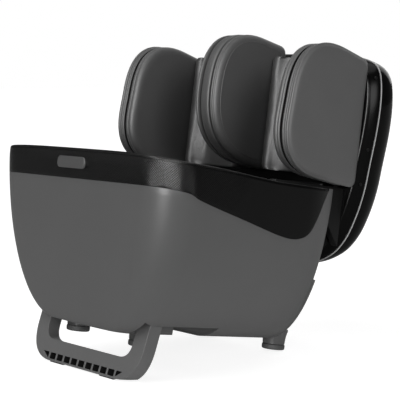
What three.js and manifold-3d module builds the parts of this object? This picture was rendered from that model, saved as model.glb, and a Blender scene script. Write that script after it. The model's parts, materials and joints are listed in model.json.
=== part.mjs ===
// Foot and calf massager: a tub for the feet, a tilting calf rest behind it and a fold-out stand under it.
// Millimetres. Inside the device group X is across, -Y is the toe end, +Z is square to the feet's plane.
import * as THREE from "three";
import { mergeVertices } from "three/addons/utils/BufferGeometryUtils.js";
import Module from "manifold-3d";

const wasm = await Module();
wasm.setup();

// Driving dimensions

const gap = 0.3; // between pieces that touch
const overrun = 5; // how far a cutter runs past what it cuts
const wall = 3; // moulded casings
const rightAngle = Math.PI / 2;
const degree = Math.PI / 180;
const sides = { roller: 10, pin: 16, round: 20, large: 24 }; // facets of round pieces
const curveSteps = { outline: 6, liner: 5, belt: 10, cradle: 8, rim: 12 }; // in each curve of an outline

const tub = {
  halfWidth: 202,
  frontReach: 222,
  rearReach: 158,
  bottom: 18,
  sideRim: 243,
  frontRise: 15, // how much higher the rim is at the toe end
  frontCorner: 58,
  rearCorner: 120,
  bottomInset: 118, // from the rim's outline to the flat of the bottom
  frontBow: 4, // how far the front's ends draw back from its middle
};
tub.frontRim = tub.sideRim + tub.frontRise;

// How far the tub's outline has drawn in at a height: an elliptical quarter from the rim to the bottom.
function tubInset(z) {
  const share = Math.max(tub.sideRim - z, 0) / (tub.sideRim - tub.bottom);
  return tub.bottomInset * (1 - Math.sqrt(Math.max(1 - share * share, 0)));
}

// The front stands steeper: a share of the sides' inset, and a straight draft.
const frontInsetShare = 0.2;
const frontDraftShare = 0.1;
function tubFrontInset(z) {
  return tubInset(z) * frontInsetShare + Math.max(tub.sideRim - z, 0) * frontDraftShare;
}

const band = { frontDrop: 26 }; // from the side rim's level to the band's lower edge across the front
band.frontEdge = tub.sideRim - band.frontDrop;

// The band's lower edge along each side: shares of the front reach, then of the side rim's height.
const bandEdgeShares = [
  [-0.788, 0.877],
  [-0.712, 0.848],
  [-0.306, 0.761],
  [0, 0.7],
  [0.135, 0.695],
  [0.225, 0.737],
  [0.279, 0.831],
  [0.324, 0.93],
  [0.378, 1.008],
];

// The slanted rear edges that rise to the pivots, set back from the rear wall.
const horn = { topSetback: 44, footSetback: 59, foot: 112, tip: 12 };
horn.rearTop = tub.rearReach - horn.topSetback;
horn.rearFoot = tub.rearReach - horn.footSetback;

const rearLip = { low: 78, lowInset: 102, highInset: 42 };
rearLip.lowHalfWidth = tub.halfWidth - rearLip.lowInset;
rearLip.highHalfWidth = tub.halfWidth - rearLip.highInset;

const stand = {
  pivotSetback: 55, // from the tub's front where it passes the pivot
  pivotZ: 54,
  lean: 11.3, // degrees, forward of straight down
  inset: 31, // from the tub's side, likewise
  armWidth: 26,
  thickness: 20,
  bar: 31,
  outerCorner: 46,
  innerCorner: 20,
  cells: 11,
  barEnd: 29.9, // solid past the last cell
  cellWall: 3,
  cellHeight: 9,
  cellDepth: 6,
};
const bay = { side: 2, roof: 2.5, wall: 2.5, ahead: 26, rearShare: 0.651 };
stand.roomInset = tubInset(stand.pivotZ + stand.thickness / 2);
stand.roomFront = tub.frontReach - tubFrontInset(stand.pivotZ + stand.thickness / 2);
stand.pivotY = stand.pivotSetback - stand.roomFront;
bay.rear = tub.rearReach - (tub.rearReach - stand.pivotY) * bay.rearShare;
stand.halfWidth = tub.halfWidth - stand.roomInset - stand.inset;
stand.reach = bay.rear - bay.side - stand.pivotY; // from the pivot to the underside of the bar
stand.cellPitch = (2 * (stand.halfWidth - stand.barEnd)) / stand.cells;
bay.front = stand.pivotY - bay.ahead;

const strip = { innerInset: 81.5, outerInset: 49.5, front: 2, width: 13, thickness: 2.4 };
strip.inner = stand.halfWidth - strip.innerInset;
strip.outer = stand.halfWidth - strip.outerInset;
const standPin = { radius: 3, bore: 3.3, beyond: 4 };

const chassis = { level: 30, thickness: 3, frontClear: 5, rearSetback: 24 };
chassis.front = bay.rear + chassis.frontClear;
chassis.rear = tub.rearReach - chassis.rearSetback;

const bearing = { outset: 23, thickness: 6, halfLength: 9, cap: 8 };
bearing.inner = tub.halfWidth - tub.bottomInset + bearing.outset;

const supply = { railClear: 57, rearSetback: 52, depth: 27, height: 28 };
supply.front = tub.rearReach - supply.rearSetback;
supply.halfWidth = bearing.inner - supply.railClear;
const pump = { railClear: 17, supplyClear: 4, length: 56, width: 24, height: 26, dome: 9, domeHeight: 8 };
pump.x = pump.railClear + pump.length / 2 - bearing.inner;
pump.y = supply.front - pump.supplyClear - pump.width / 2;
pump.front = pump.y - pump.width / 2;

// The rollers share the floor between the stand's bay and the pump, with most of the spare room between them.
const roller = { radius: 19, core: 13, inner: 44, endClear: 3, ridges: 5, height: 54, rearShare: 0.27 };
roller.width = bearing.inner - roller.endClear - roller.inner;
roller.spare = pump.front - chassis.front - 4 * roller.radius;
roller.frontY = chassis.front + roller.radius;
roller.rearY = pump.front - roller.radius - roller.spare * roller.rearShare;

const shaft = { radius: 4, bore: 4.3, short: 1 };
shaft.end = bearing.inner + bearing.thickness - shaft.short;
const pulley = { radius: 10, width: 4.2, frontX: 25, pitch: 5.2, belt: 1.8 };
const driveShaftHeight = 48;

const gearbox = { halfWidth: 18, shaftClear: 9, top: 64 };
gearbox.middle = (roller.frontY + roller.rearY) / 2;
gearbox.front = roller.frontY + gearbox.shaftClear;
gearbox.rear = roller.rearY - gearbox.shaftClear;
const pivot = {
  setback: 83,
  drop: 43,
  radius: 24,
  pin: 9,
  bore: 9.3,
  beyond: 13, // past the ear
  head: 13,
  headHeight: 3,
};
pivot.y = tub.rearReach - pivot.setback;
pivot.z = tub.sideRim - pivot.drop;

const deck = { drop: 29, thickness: wall, heelSetback: 55, pivotClear: 37, heelLevel: 89, rearLevel: 72 };
deck.level = tub.sideRim - deck.drop;
deck.heel = tub.rearReach - deck.heelSetback;
deck.rear = pivot.y - deck.pivotClear;

const motor = { radius: 17, height: 60, deckClear: 2 };
motor.y = deck.rear - motor.deckClear - motor.radius;

const well = {
  inner: 22, // from the middle to the liner's inner side
  outerInset: 62,
  toeInset: 46,
  toeCover: 80, // how much of the well's toe end lies under the deck
  sole: 74,
  heelTop: 95,
  slopeAhead: 8, // the open top falls from here before the deck's step ...
  slopeBehind: 24, // ... to here behind it
  slopeLevel: 116,
  skin: 3,
  toeCorner: 40,
  heelCorner: 16,
};
well.width = tub.halfWidth - well.outerInset - well.inner;
well.toe = well.toeInset - tub.frontReach;
well.mouthToe = well.toe + well.toeCover;
well.heel = deck.heel - well.skin;
well.slopeTop = deck.rear - well.slopeAhead;
well.slopeFoot = deck.rear + well.slopeBehind;

const inlet = { width: 26, height: 19, depth: 12, flange: 3, lip: 2, level: 55 };

const keys = { count: 4, pitch: 24, radius: 7, proud: 2, setback: 23 };
keys.y = keys.setback - tub.frontReach;
const fascia = { halfWidth: 62, halfDepth: 14, thickness: 2.4 };
const board = { halfWidth: 56, halfDepth: 12, thickness: 1.6, post: 3, drop: 7 };

const badge = { width: 63, height: 16, thickness: 1.6, drop: 5 };
badge.level = tub.sideRim - badge.drop;

const foot = {
  bottomInset: 11, // from the bottom's edge to a foot's middle
  frontSetback: 96,
  rearSetback: 32,
  radius: 17,
  capHeight: 8,
  capLip: 2,
  postTop: 40,
  flat: 0.7, // how much the rear caps are worn down where they meet the floor
};
foot.x = tub.halfWidth - tub.bottomInset - foot.bottomInset;
foot.frontY = foot.frontSetback - tub.frontReach;
foot.rearY = tub.rearReach - foot.rearSetback;

const calf = {
  overhang: 2, // past the tub's sides
  bottom: 126,
  rise: 202, // above the tub's side rim
  setback: 22,
  frontDepth: 19,
  rearDepth: 59,
  frontInset: 7,
  rearInset: 60,
  trimWidth: 1.6,
  trimProud: 0.8,
  lowerProud: 22, // the lower body stands forward behind the ankles
  lowerRise: 9,
  lowerInset: 2,
  edge: 4, // rounding of the front edge
};
calf.halfWidth = tub.halfWidth + calf.overhang;
calf.top = tub.sideRim + calf.rise;
calf.front = tub.rearReach - calf.setback;
calf.seam = calf.front + calf.frontDepth;
calf.rear = calf.seam + calf.rearDepth;
calf.innerFront = calf.front - calf.lowerProud;
calf.lowerTop = tub.sideRim + calf.lowerRise;

// The ears lie inside the horns, whose rear edges cut the tub's rear corners.
const ear = { clear: 1, thickness: 12, armReach: 76, armDrop: 11, armRise: 4, radius: 30, footRise: 37 };
ear.behind = horn.rearTop - (tub.rearReach - tub.rearCorner);
ear.room = tub.halfWidth - tub.rearCorner + Math.sqrt((tub.rearCorner - wall) ** 2 - ear.behind ** 2);
ear.inner = ear.room - ear.clear - ear.thickness;
ear.armFront = pivot.y - ear.armReach;
ear.armFoot = tub.sideRim - ear.armDrop;
ear.armTop = tub.sideRim + ear.armRise;
ear.rearFoot = calf.bottom + ear.footRise;
pivot.end = ear.inner + ear.thickness + pivot.beyond;
calf.lowerHalfWidth = ear.inner - calf.lowerInset;

// The upholstered walls. Their corners' heights are above the tub's side rim, and their fronts lean back.
const padSeat = 0.5; // the pads stand off the housing's face
const wing = { inset: 27, thickness: 38, front: -15, lean: 18, rear: calf.front - padSeat };
wing.centre = tub.halfWidth - wing.inset;
const wingCorners = { frontTop: 215, rearTop: 187, rearFoot: 6, frontFoot: 19 };
const wingRounds = { frontTop: 88, rearTop: 10, rearFoot: 14, frontFoot: 75 };
const middle = { centre: 0, thickness: 50, front: -8, lean: 14, rear: calf.front - padSeat };
const middleCorners = { frontTop: 227, rearTop: 209, rearFoot: 21, frontFoot: 33 };
const middleRounds = { frontTop: 84, rearTop: 10, rearFoot: 12, frontFoot: 108 };
const padEdge = 20; // how far in from its outline a pad's face reaches its full thickness
const seam = { halfWidth: 1.6, depth: 2.4 };
const middleSeamShare = 0.2;

const calfPad = {
  innerClear: 3.5,
  outerClear: 5,
  footRise: 21,
  topRise: 191,
  thickness: 11.7,
  cradle: 24,
  edge: 4,
};
calfPad.inner = middle.thickness / 2 + calfPad.innerClear;
calfPad.outer = wing.centre - wing.thickness / 2 - calfPad.outerClear;
calfPad.bottom = tub.sideRim + calfPad.footRise;
calfPad.top = tub.sideRim + calfPad.topRise;
calfPad.back = calf.front - gap;

const knead = {
  rise: 109,
  radius: 44,
  thickness: 6,
  nub: 11,
  nubReach: 27,
  nubHeight: 4,
  hub: 6,
  clear: 1,
  rim: 2, // between the disc and the edge of the hole in front of it
};
knead.x = (calfPad.inner + calfPad.outer) / 2;
knead.z = tub.sideRim + knead.rise;
const kneadMotor = { radius: 20, length: 36, plate: 16, boss: 4 };

// Finishes

const finish = (color, roughness, metalness = 0) =>
  new THREE.MeshStandardMaterial({ color, roughness, metalness });
const greyShell = finish("#56565a", 0.45);
const blackGloss = finish("#101011", 0.12);
const blackTexture = finish("#161617", 0.35);
const blackPlastic = finish("#1b1b1c", 0.5);
const greyPlastic = finish("#646467", 0.5);
const silverTrim = finish("#9a9a9c", 0.3, 0.6);
const leatherette = finish("#4b4b4e", 0.55);
const fabricLining = finish("#2b2b2d", 0.9);
const softRubber = finish("#3e3e40", 0.85);
const steel = finish("#b6b8bb", 0.3, 1);
const motorSteel = finish("#8d9094", 0.4, 0.9);
const boardGreen = finish("#2d5a3c", 0.6);

// Solids

// A closed geometry as a solid that can be joined and cut.
function solidOf(geometry) {
  const bare = geometry.clone();
  bare.deleteAttribute("normal");
  bare.deleteAttribute("uv");
  const merged = mergeVertices(bare);
  return new wasm.Manifold(
    new wasm.Mesh({
      numProp: 3,
      vertProperties: merged.attributes.position.array,
      triVerts: new Uint32Array(merged.index.array),
    }),
  );
}

function geometryOf(body) {
  const mesh = body.getMesh();
  const geometry = new THREE.BufferGeometry();
  geometry.setAttribute("position", new THREE.BufferAttribute(mesh.vertProperties, mesh.numProp));
  geometry.setIndex(new THREE.BufferAttribute(mesh.triVerts, 1));
  geometry.computeVertexNormals();
  return geometry;
}

const combine = (first, others, method) =>
  geometryOf(others.reduce((body, other) => body[method](solidOf(other)), solidOf(first)));
const join = (first, ...others) => combine(first, others, "add");
const cut = (first, ...others) => combine(first, others, "subtract");
const common = (first, ...others) => combine(first, others, "intersect");

// A solid through rings of points, closed at its ends, or back onto its first ring.
function loft(rings, closed = false) {
  const around = rings[0].length;
  const points = rings.flat();
  const faces = [];
  const last = closed ? rings.length : rings.length - 1;
  for (let ring = 0; ring < last; ring += 1) {
    const next = (ring + 1) % rings.length;
    for (let i = 0; i < around; i += 1) {
      const j = (i + 1) % around;
      const [a, b, c, d] = [ring * around + i, ring * around + j, next * around + j, next * around + i];
      faces.push(a, b, c, a, c, d);
    }
  }
  if (!closed) {
    const ends = [
      [rings[0], 0],
      [rings[rings.length - 1], (rings.length - 1) * around],
    ];
    for (const [ring, first] of ends) {
      const centre = ring.reduce((sum, point) => sum.add(point), new THREE.Vector3()).divideScalar(around);
      const hub = points.push(centre) - 1;
      for (let i = 0; i < around; i += 1) {
        const [a, b] = [first + i, first + ((i + 1) % around)];
        faces.push(...(first === 0 ? [hub, b, a] : [hub, a, b]));
      }
    }
  }
  const geometry = new THREE.BufferGeometry().setFromPoints(points);
  geometry.setIndex(faces);
  return facingOut(geometry);
}

// Turns a closed geometry's faces round where its volume comes out negative.
function facingOut(geometry) {
  const position = geometry.attributes.position;
  const index = geometry.index.array;
  const corner = (k) => new THREE.Vector3().fromBufferAttribute(position, index[k]);
  let volume = 0;
  for (let k = 0; k < index.length; k += 3) volume += corner(k).dot(corner(k + 1).cross(corner(k + 2)));
  if (volume < 0) {
    for (let k = 0; k < index.length; k += 3) [index[k + 1], index[k + 2]] = [index[k + 2], index[k + 1]];
  }
  geometry.computeVertexNormals();
  return geometry;
}

const axes = {
  x: new THREE.Matrix4().makeBasis(
    new THREE.Vector3(0, 1, 0),
    new THREE.Vector3(0, 0, 1),
    new THREE.Vector3(1, 0, 0),
  ),
  y: new THREE.Matrix4().makeBasis(
    new THREE.Vector3(0, 0, 1),
    new THREE.Vector3(1, 0, 0),
    new THREE.Vector3(0, 1, 0),
  ),
  z: new THREE.Matrix4(),
};

// A flat outline pushed along an axis: along x it is drawn in (y, z), along y in (z, x), along z in (x, y).
function push(shape, axis, from, to, curveSegments = curveSteps.outline) {
  const geometry = new THREE.ExtrudeGeometry(shape, { depth: to - from, bevelEnabled: false, curveSegments });
  return geometry.translate(0, 0, from).applyMatrix4(axes[axis]);
}

function box(low, high) {
  const size = high.map((value, i) => value - low[i]);
  const middlePoint = high.map((value, i) => (value + low[i]) / 2);
  return new THREE.BoxGeometry(...size).translate(...middlePoint);
}

// A round bar along an axis, from one place to another on that axis.
function rod(radius, axis, from, to, centre, segments = sides.round) {
  const geometry = new THREE.CylinderGeometry(radius, radius, to - from, segments);
  geometry.rotateX(rightAngle).translate(0, 0, (from + to) / 2).applyMatrix4(axes[axis]);
  return geometry.translate(...centre);
}

const point = (x, y) => new THREE.Vector2(x, y);

// A closed outline through corners, each rounded by its own radius.
function rounded(corners, radii) {
  const shape = new THREE.Shape();
  corners.forEach((corner, i) => {
    const before = corners[(i + corners.length - 1) % corners.length];
    const after = corners[(i + 1) % corners.length];
    const radius = Array.isArray(radii) ? radii[i] : radii;
    const start = corner.clone().add(before.clone().sub(corner).setLength(radius));
    const end = corner.clone().add(after.clone().sub(corner).setLength(radius));
    if (i === 0) shape.moveTo(start.x, start.y);
    else shape.lineTo(start.x, start.y);
    shape.quadraticCurveTo(corner.x, corner.y, end.x, end.y);
  });
  shape.closePath();
  return shape;
}

const rectangle = (x0, y0, x1, y1) => [point(x0, y0), point(x1, y0), point(x1, y1), point(x0, y1)];
const mirrored = (geometry) => facingOut(indexed(geometry.clone().scale(-1, 1, 1)));

function indexed(geometry) {
  geometry.deleteAttribute("normal");
  geometry.deleteAttribute("uv");
  return geometry.index ? geometry : mergeVertices(geometry);
}

const device = new THREE.Group();

function add(name, geometry, material, parent = device) {
  const mesh = new THREE.Mesh(geometry, material);
  mesh.name = name;
  parent.add(mesh);
  return mesh;
}

// The left piece is the right one's mirror image.
function addPair(name, geometry, material) {
  add(`${name}_right`, geometry, material);
  add(`${name}_left`, mirrored(geometry), material);
}

// The tub's form

const tubColumns = { front: 3, corner: 5, side: 8, rearCorner: 7, rear: 2 };
const rearInsetShare = 0.2; // the rear wall is steeper than the sides
const frontCornerShare = 0.3; // how fast the corners tighten towards the bottom
const rearCornerShare = 0.55;
const leastCornerShare = 0.33;

const tubRear = (z) => tub.rearReach - tubInset(z) * rearInsetShare;

// Half the tub's outline at a height, from the middle of the front to the middle of the rear.
function tubHalf(z, inward) {
  const inset = tubInset(z);
  const across = tub.halfWidth - inset - inward;
  const front = tub.frontReach - tubFrontInset(z) - inward;
  const rear = tubRear(z) - inward;
  const least = tub.frontCorner * leastCornerShare;
  const frontCorner = Math.max(tub.frontCorner - inset * frontCornerShare - inward, least);
  const rearCorner = Math.min(tub.rearCorner - inset * rearCornerShare - inward, across);
  const places = [];
  const arc = (radius, x, y, from, count) => {
    for (let i = 0; i < count; i += 1) {
      const turn = from + (rightAngle * i) / count;
      places.push(point(x + radius * Math.cos(turn), y + radius * Math.sin(turn)));
    }
  };
  const sideFront = -front + frontCorner;
  const sideRear = rear - rearCorner;
  for (let i = 0; i < tubColumns.front; i += 1) {
    places.push(point(((across - frontCorner) * i) / tubColumns.front, -front));
  }
  arc(frontCorner, across - frontCorner, sideFront, -rightAngle, tubColumns.corner);
  for (let i = 0; i < tubColumns.side; i += 1) {
    places.push(point(across, sideFront + ((sideRear - sideFront) * i) / tubColumns.side));
  }
  arc(rearCorner, across - rearCorner, sideRear, 0, tubColumns.rearCorner);
  for (let i = 0; i <= tubColumns.rear; i += 1) {
    places.push(point((across - rearCorner) * (1 - i / tubColumns.rear), rear));
  }
  return places.map((place) => {
    const bow = place.y < 0 ? (tub.frontBow * -place.y * (place.x / across) ** 2) / front : 0;
    return point(place.x, place.y + bow);
  });
}

// The whole outline, as a ring that starts at the middle of the front.
function tubRing(z, inward) {
  const half = tubHalf(z, inward);
  const other = half.slice(1, -1).reverse();
  return [...half, ...other.map((place) => point(-place.x, place.y))];
}

const tubLevelShares = [0, 0.012, 0.05, 0.13, 0.27, 0.48, 0.72, 0.9, 1];

// The tub's form as a solid from a level up past the rim.
function tubSolid(from, inward) {
  const to = tub.frontRim + overrun;
  return loft(
    tubLevelShares.map((share) => {
      const z = from + (to - from) * share;
      return tubRing(z, inward).map((place) => new THREE.Vector3(place.x, place.y, z));
    }),
  );
}

const tubRoom = (clearance) => tubSolid(tub.bottom + wall + clearance, wall + clearance);
const acrossTub = (shape) => push(shape, "x", -tub.halfWidth - overrun, tub.halfWidth + overrun);
const frontEnd = -tub.frontReach - overrun;
const rearEnd = tub.rearReach + overrun;
const aboveRim = tub.frontRim + overrun;

// The rim's line: highest at the toe end, level along the sides.
function rimHeight(y) {
  const share = THREE.MathUtils.clamp(-y / tub.frontReach, 0, 1);
  return tub.sideRim + (tub.frontRim - tub.sideRim) * THREE.MathUtils.smoothstep(share, 0, 1);
}

function tubWall() {
  const line = [point(frontEnd, aboveRim)];
  for (let i = 0; i <= curveSteps.rim; i += 1) {
    const y = frontEnd * (1 - i / curveSteps.rim);
    line.push(point(y, rimHeight(y)));
  }
  line.push(point(rearEnd, tub.sideRim), point(rearEnd, aboveRim));
  return cut(tubSolid(tub.bottom, 0), tubRoom(0), acrossTub(new THREE.Shape(line)));
}

const bandEdge = bandEdgeShares.map(([along, up]) => point(along * tub.frontReach, up * tub.sideRim));

// Everything above the band's lower edge.
function aboveBandEdge(shift) {
  const last = bandEdge[bandEdge.length - 1];
  return acrossTub(
    new THREE.Shape([
      point(frontEnd, band.frontEdge + shift),
      ...bandEdge.map((knot) => point(knot.x, knot.y + shift)),
      point(last.x, aboveRim),
      point(frontEnd, aboveRim),
    ]),
  );
}

// Stand: its pivot lies inside the tub, and it leans forward from there to the floor

const lean = stand.lean * degree;
const placeStand = (geometry) => geometry.rotateX(-lean).translate(0, stand.pivotY, stand.pivotZ);
const toeEdge = new THREE.Vector3(0, -stand.thickness / 2, -stand.reach)
  .applyAxisAngle(new THREE.Vector3(1, 0, 0), -lean)
  .add(new THREE.Vector3(0, stand.pivotY, stand.pivotZ));

// The device rests on its rear feet and the stand, so the floor's slope follows from both.
const heelEdge = foot.rearY + foot.radius;
const tilt = Math.atan2(foot.flat + strip.thickness - toeEdge.z, heelEdge - toeEdge.y);
const placeOnFloor = (geometry) => geometry.rotateX(tilt).translate(0, toeEdge.y, toeEdge.z);

const slot = {
  inner: stand.halfWidth - stand.armWidth - bay.side,
  outer: stand.halfWidth + bay.side,
  roof: stand.pivotZ + stand.thickness / 2 + bay.roof,
  rear: bay.rear,
};
slot.barFront = slot.rear - stand.bar - stand.thickness - 2 * bay.side;

// The room that the stand swings in, up inside the tub: two arm channels and one across for the bar.
function standRoom(grow) {
  const low = tub.bottom - overrun;
  const rear = slot.rear + grow;
  const roof = slot.roof + grow;
  const arm = box([slot.inner - grow, bay.front - grow, low], [slot.outer + grow, rear, roof]);
  const bar = box([-slot.inner - overrun, slot.barFront - grow, low], [slot.inner + overrun, rear, roof]);
  return join(bar, arm, mirrored(arm));
}

function standFrame() {
  const { halfWidth, armWidth, thickness, reach, bar, outerCorner, innerCorner } = stand;
  const opening = halfWidth - armWidth;
  const outline = rounded(
    rectangle(-reach, -halfWidth, 0, halfWidth),
    [outerCorner, armWidth / 4, armWidth / 4, outerCorner],
  );
  const hole = rounded(
    rectangle(bar - reach, -opening, thickness, opening),
    [innerCorner, gap, gap, innerCorner],
  );
  const face = thickness / 2;
  let frame = push(outline, "y", -face, face);
  frame = cut(frame, push(hole, "y", -face - overrun, face + overrun));
  const eye = rod(face, "x", opening, halfWidth, [0, 0, 0]);
  const bore = rod(standPin.bore, "x", -halfWidth - overrun, halfWidth + overrun, [0, 0, 0], sides.pin);
  frame = cut(join(frame, eye, mirrored(eye)), bore);
  const cells = [];
  for (let i = 0; i < stand.cells; i += 1) {
    const middleX = (i - (stand.cells - 1) / 2) * stand.cellPitch;
    const half = (stand.cellPitch - stand.cellWall) / 2;
    const low = stand.cellWall - reach;
    const high = low + stand.cellHeight;
    cells.push(box([middleX - half, -face - overrun, low], [middleX + half, stand.cellDepth - face, high]));
  }
  const ground = box([-halfWidth - overrun, -thickness, -thickness], [halfWidth + overrun, thickness * 2, 0]);
  return cut(placeStand(cut(frame, ...cells)), placeOnFloor(ground));
}

add("stand", standFrame(), greyPlastic);
const stripRear = strip.front + strip.width;
const stripBox = box([strip.inner, strip.front, -strip.thickness], [strip.outer, stripRear, -gap]);
addPair("stand_strip", placeOnFloor(stripBox), softRubber);
const pinInner = slot.inner - bay.wall - standPin.beyond;
const pinAxis = [0, stand.pivotY, stand.pivotZ];
const pin = rod(standPin.radius, "x", pinInner, slot.outer + bay.wall, pinAxis, sides.pin);
addPair("stand_pin", common(pin, tubRoom(gap)), steel);

function standBay() {
  const outer = common(standRoom(bay.wall), tubRoom(gap));
  const bore = rod(
    standPin.radius + gap,
    "x",
    -slot.outer - bay.wall - overrun,
    slot.outer + bay.wall + overrun,
    [0, stand.pivotY, stand.pivotZ],
    sides.pin,
  );
  return cut(outer, standRoom(0), bore);
}

add("stand_bay", standBay(), blackPlastic);

// Base shell, its moulded foot posts and the rubber caps on them

function baseShell() {
  const room = tubRoom(0);
  const posts = [];
  for (const x of [-foot.x, foot.x]) {
    for (const y of [foot.frontY, foot.rearY]) {
      const post = rod(foot.radius - foot.capLip, "z", foot.capHeight + gap, foot.postTop, [x, y, 0]);
      posts.push(cut(post, room));
    }
  }
  const slant = (horn.rearTop - horn.rearFoot) / (tub.frontRim - horn.foot);
  const hornY = (z) => horn.rearFoot + slant * (z - horn.foot);
  const tipFoot = tub.sideRim - horn.tip;
  const outline = new THREE.Shape([point(horn.rearFoot, horn.foot), point(hornY(tipFoot), tipFoot)]);
  outline.quadraticCurveTo(hornY(tub.sideRim), tub.sideRim, hornY(tub.sideRim) - horn.tip, tub.sideRim);
  outline.lineTo(hornY(tub.sideRim) - horn.tip, aboveRim);
  outline.lineTo(rearEnd, aboveRim);
  outline.lineTo(rearEnd, horn.foot);
  const behind = acrossTub(outline);
  const lip = new THREE.Shape([
    point(rearLip.low, -rearLip.lowHalfWidth),
    point(horn.foot, -rearLip.highHalfWidth),
    point(horn.foot + overrun, -rearLip.highHalfWidth),
    point(horn.foot + overrun, rearLip.highHalfWidth),
    point(horn.foot, rearLip.highHalfWidth),
    point(rearLip.low, rearLip.lowHalfWidth),
  ]);
  const notch = push(lip, "y", horn.rearFoot, rearEnd);
  const socket = box(
    [-inlet.width / 2 - gap, supply.front, inlet.level - inlet.height / 2 - gap],
    [inlet.width / 2 + gap, rearEnd, inlet.level + inlet.height / 2 + gap],
  );
  return cut(join(tubWall(), ...posts), aboveBandEdge(-gap), behind, notch, socket, standRoom(0));
}

add("base_shell", baseShell(), greyShell);

// The rear caps are worn flat where they meet the floor.
const floorLength = heelEdge - toeEdge.y + foot.radius;
for (const [end, y] of [["front", foot.frontY], ["rear", foot.rearY]]) {
  for (const [side, x] of [["left", -foot.x], ["right", foot.x]]) {
    const cap = rod(foot.radius, "z", 0, foot.capHeight, [0, 0, 0]);
    const ground = placeOnFloor(
      box([-foot.radius * 2, 0, -foot.radius], [foot.radius * 2, floorLength, -strip.thickness]),
    ).translate(0, -y, 0);
    add(`${end}_foot_${side}`, cut(cap, ground), softRubber).position.set(x, y, 0);
  }
}

// The black band round the rim, one piece from horn to horn

add("rim_band", common(tubWall(), aboveBandEdge(0)), blackTexture);

function badgePlate() {
  const { width, height, thickness, level } = badge;
  const outline = rounded(
    rectangle(level - height / 2, -width / 2, level + height / 2, width / 2),
    height / 2 - gap,
  );
  const face = -tub.frontReach - gap;
  return push(outline, "y", face - thickness, face);
}

add("badge", badgePlate(), greyPlastic);

// Deck: a black tray inside the rim that steps down behind the ankles

function deckTray() {
  const { level, thickness, rear, heelLevel, rearLevel, heel } = deck;
  const profile = new THREE.Shape([
    point(-tub.frontReach, level),
    point(rear, level),
    point(rear, heelLevel),
    point(heel, heelLevel),
    point(heel, rearLevel),
    point(tub.rearReach, rearLevel),
    point(tub.rearReach, rearLevel + thickness),
    point(heel + thickness, rearLevel + thickness),
    point(heel + thickness, heelLevel + thickness),
    point(rear + thickness, heelLevel + thickness),
    point(rear + thickness, level + thickness),
    point(-tub.frontReach, level + thickness),
  ]);
  const tray = common(push(profile, "x", -tub.halfWidth, tub.halfWidth), tubRoom(gap));
  const mouth = box(
    [well.inner - gap, well.mouthToe, rearLevel - overrun],
    [well.inner + well.width + gap, heel + thickness / 2, level + thickness + overrun],
  );
  const bosses = [];
  for (const x of [-1, 1]) {
    for (const y of [-1, 1]) {
      const inset = board.post + board.thickness;
      const place = [x * (board.halfWidth - inset), keys.y + y * (board.halfDepth - inset), 0];
      bosses.push(rod(board.post, "z", level - board.drop + gap, level + thickness / 2, place, sides.pin));
    }
  }
  return cut(join(tray, ...bosses), mouth, mirrored(mouth), ...keyHoles(level));
}

const keyPlaces = Array.from({ length: keys.count }, (_, i) => (i - (keys.count - 1) / 2) * keys.pitch);
const keyHoles = (level) =>
  keyPlaces.map((x) =>
    rod(keys.radius + gap, "z", level - overrun, level + deck.thickness + overrun, [x, keys.y, 0]),
  );

add("deck", deckTray(), blackGloss);

const fasciaFoot = deck.level + deck.thickness + gap;
const fasciaOutline = rounded(
  rectangle(-fascia.halfWidth, keys.y - fascia.halfDepth, fascia.halfWidth, keys.y + fascia.halfDepth),
  fascia.halfDepth / 2,
);
add(
  "control_panel",
  cut(push(fasciaOutline, "z", fasciaFoot, fasciaFoot + fascia.thickness), ...keyHoles(deck.level)),
  blackGloss,
);

const keyNames = ["power_key", "mode_key", "strength_key", "heat_key"];
keyPlaces.forEach((x, i) => {
  const top = fasciaFoot + fascia.thickness + keys.proud;
  const key = rod(keys.radius, "z", deck.level - keys.proud * 2, top, [0, 0, 0]);
  add(keyNames[i], key, greyPlastic).position.set(x, keys.y, 0);
});

const boardTop = deck.level - board.drop;
add(
  "circuit_board",
  box(
    [-board.halfWidth, keys.y - board.halfDepth, boardTop - board.thickness],
    [board.halfWidth, keys.y + board.halfDepth, boardTop],
  ),
  boardGreen,
);

// Foot liners: fabric boots that hang from the deck

function footLiner() {
  const { inner, width, toe, heel, sole, skin, toeCorner, heelCorner } = well;
  const top = deck.level - gap;
  const outer = rounded(
    [
      point(toe, sole),
      point(heel, sole),
      point(heel, well.heelTop),
      point(well.slopeFoot, well.slopeLevel),
      point(well.slopeTop, top),
      point(toe, top),
    ],
    [toeCorner, heelCorner, skin, heelCorner, skin, toeCorner],
  );
  const cavity = rounded(
    rectangle(toe + skin, sole + skin, heel - skin, top + toeCorner),
    [toeCorner - skin, heelCorner - skin, skin, skin],
  );
  const body = common(push(outer, "x", inner, inner + width, curveSteps.liner), tubRoom(gap));
  const hollow = push(cavity, "x", inner + skin, inner + width - skin, curveSteps.liner);
  const room = common(hollow, tubRoom(gap + skin));
  return cut(body, room);
}

addPair("foot_liner", footLiner(), fabricLining);

// Drive under the soles: a geared motor turns both roller shafts by belts

add(
  "chassis",
  common(
    box(
      [-tub.halfWidth, chassis.front, chassis.level],
      [tub.halfWidth, chassis.rear, chassis.level + chassis.thickness],
    ),
    tubRoom(gap),
  ),
  blackPlastic,
);
const chassisTop = chassis.level + chassis.thickness + gap;

add(
  "gearbox",
  cut(
    box([-gearbox.halfWidth, gearbox.front, chassisTop], [gearbox.halfWidth, gearbox.rear, gearbox.top]),
    rod(shaft.bore, "x", 0, gearbox.halfWidth + overrun, [0, gearbox.middle, driveShaftHeight], sides.pin),
  ),
  blackPlastic,
);
add(
  "drive_motor",
  rod(motor.radius, "z", gearbox.top + gap, gearbox.top + motor.height, [0, motor.y, 0]),
  motorSteel,
);

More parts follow.
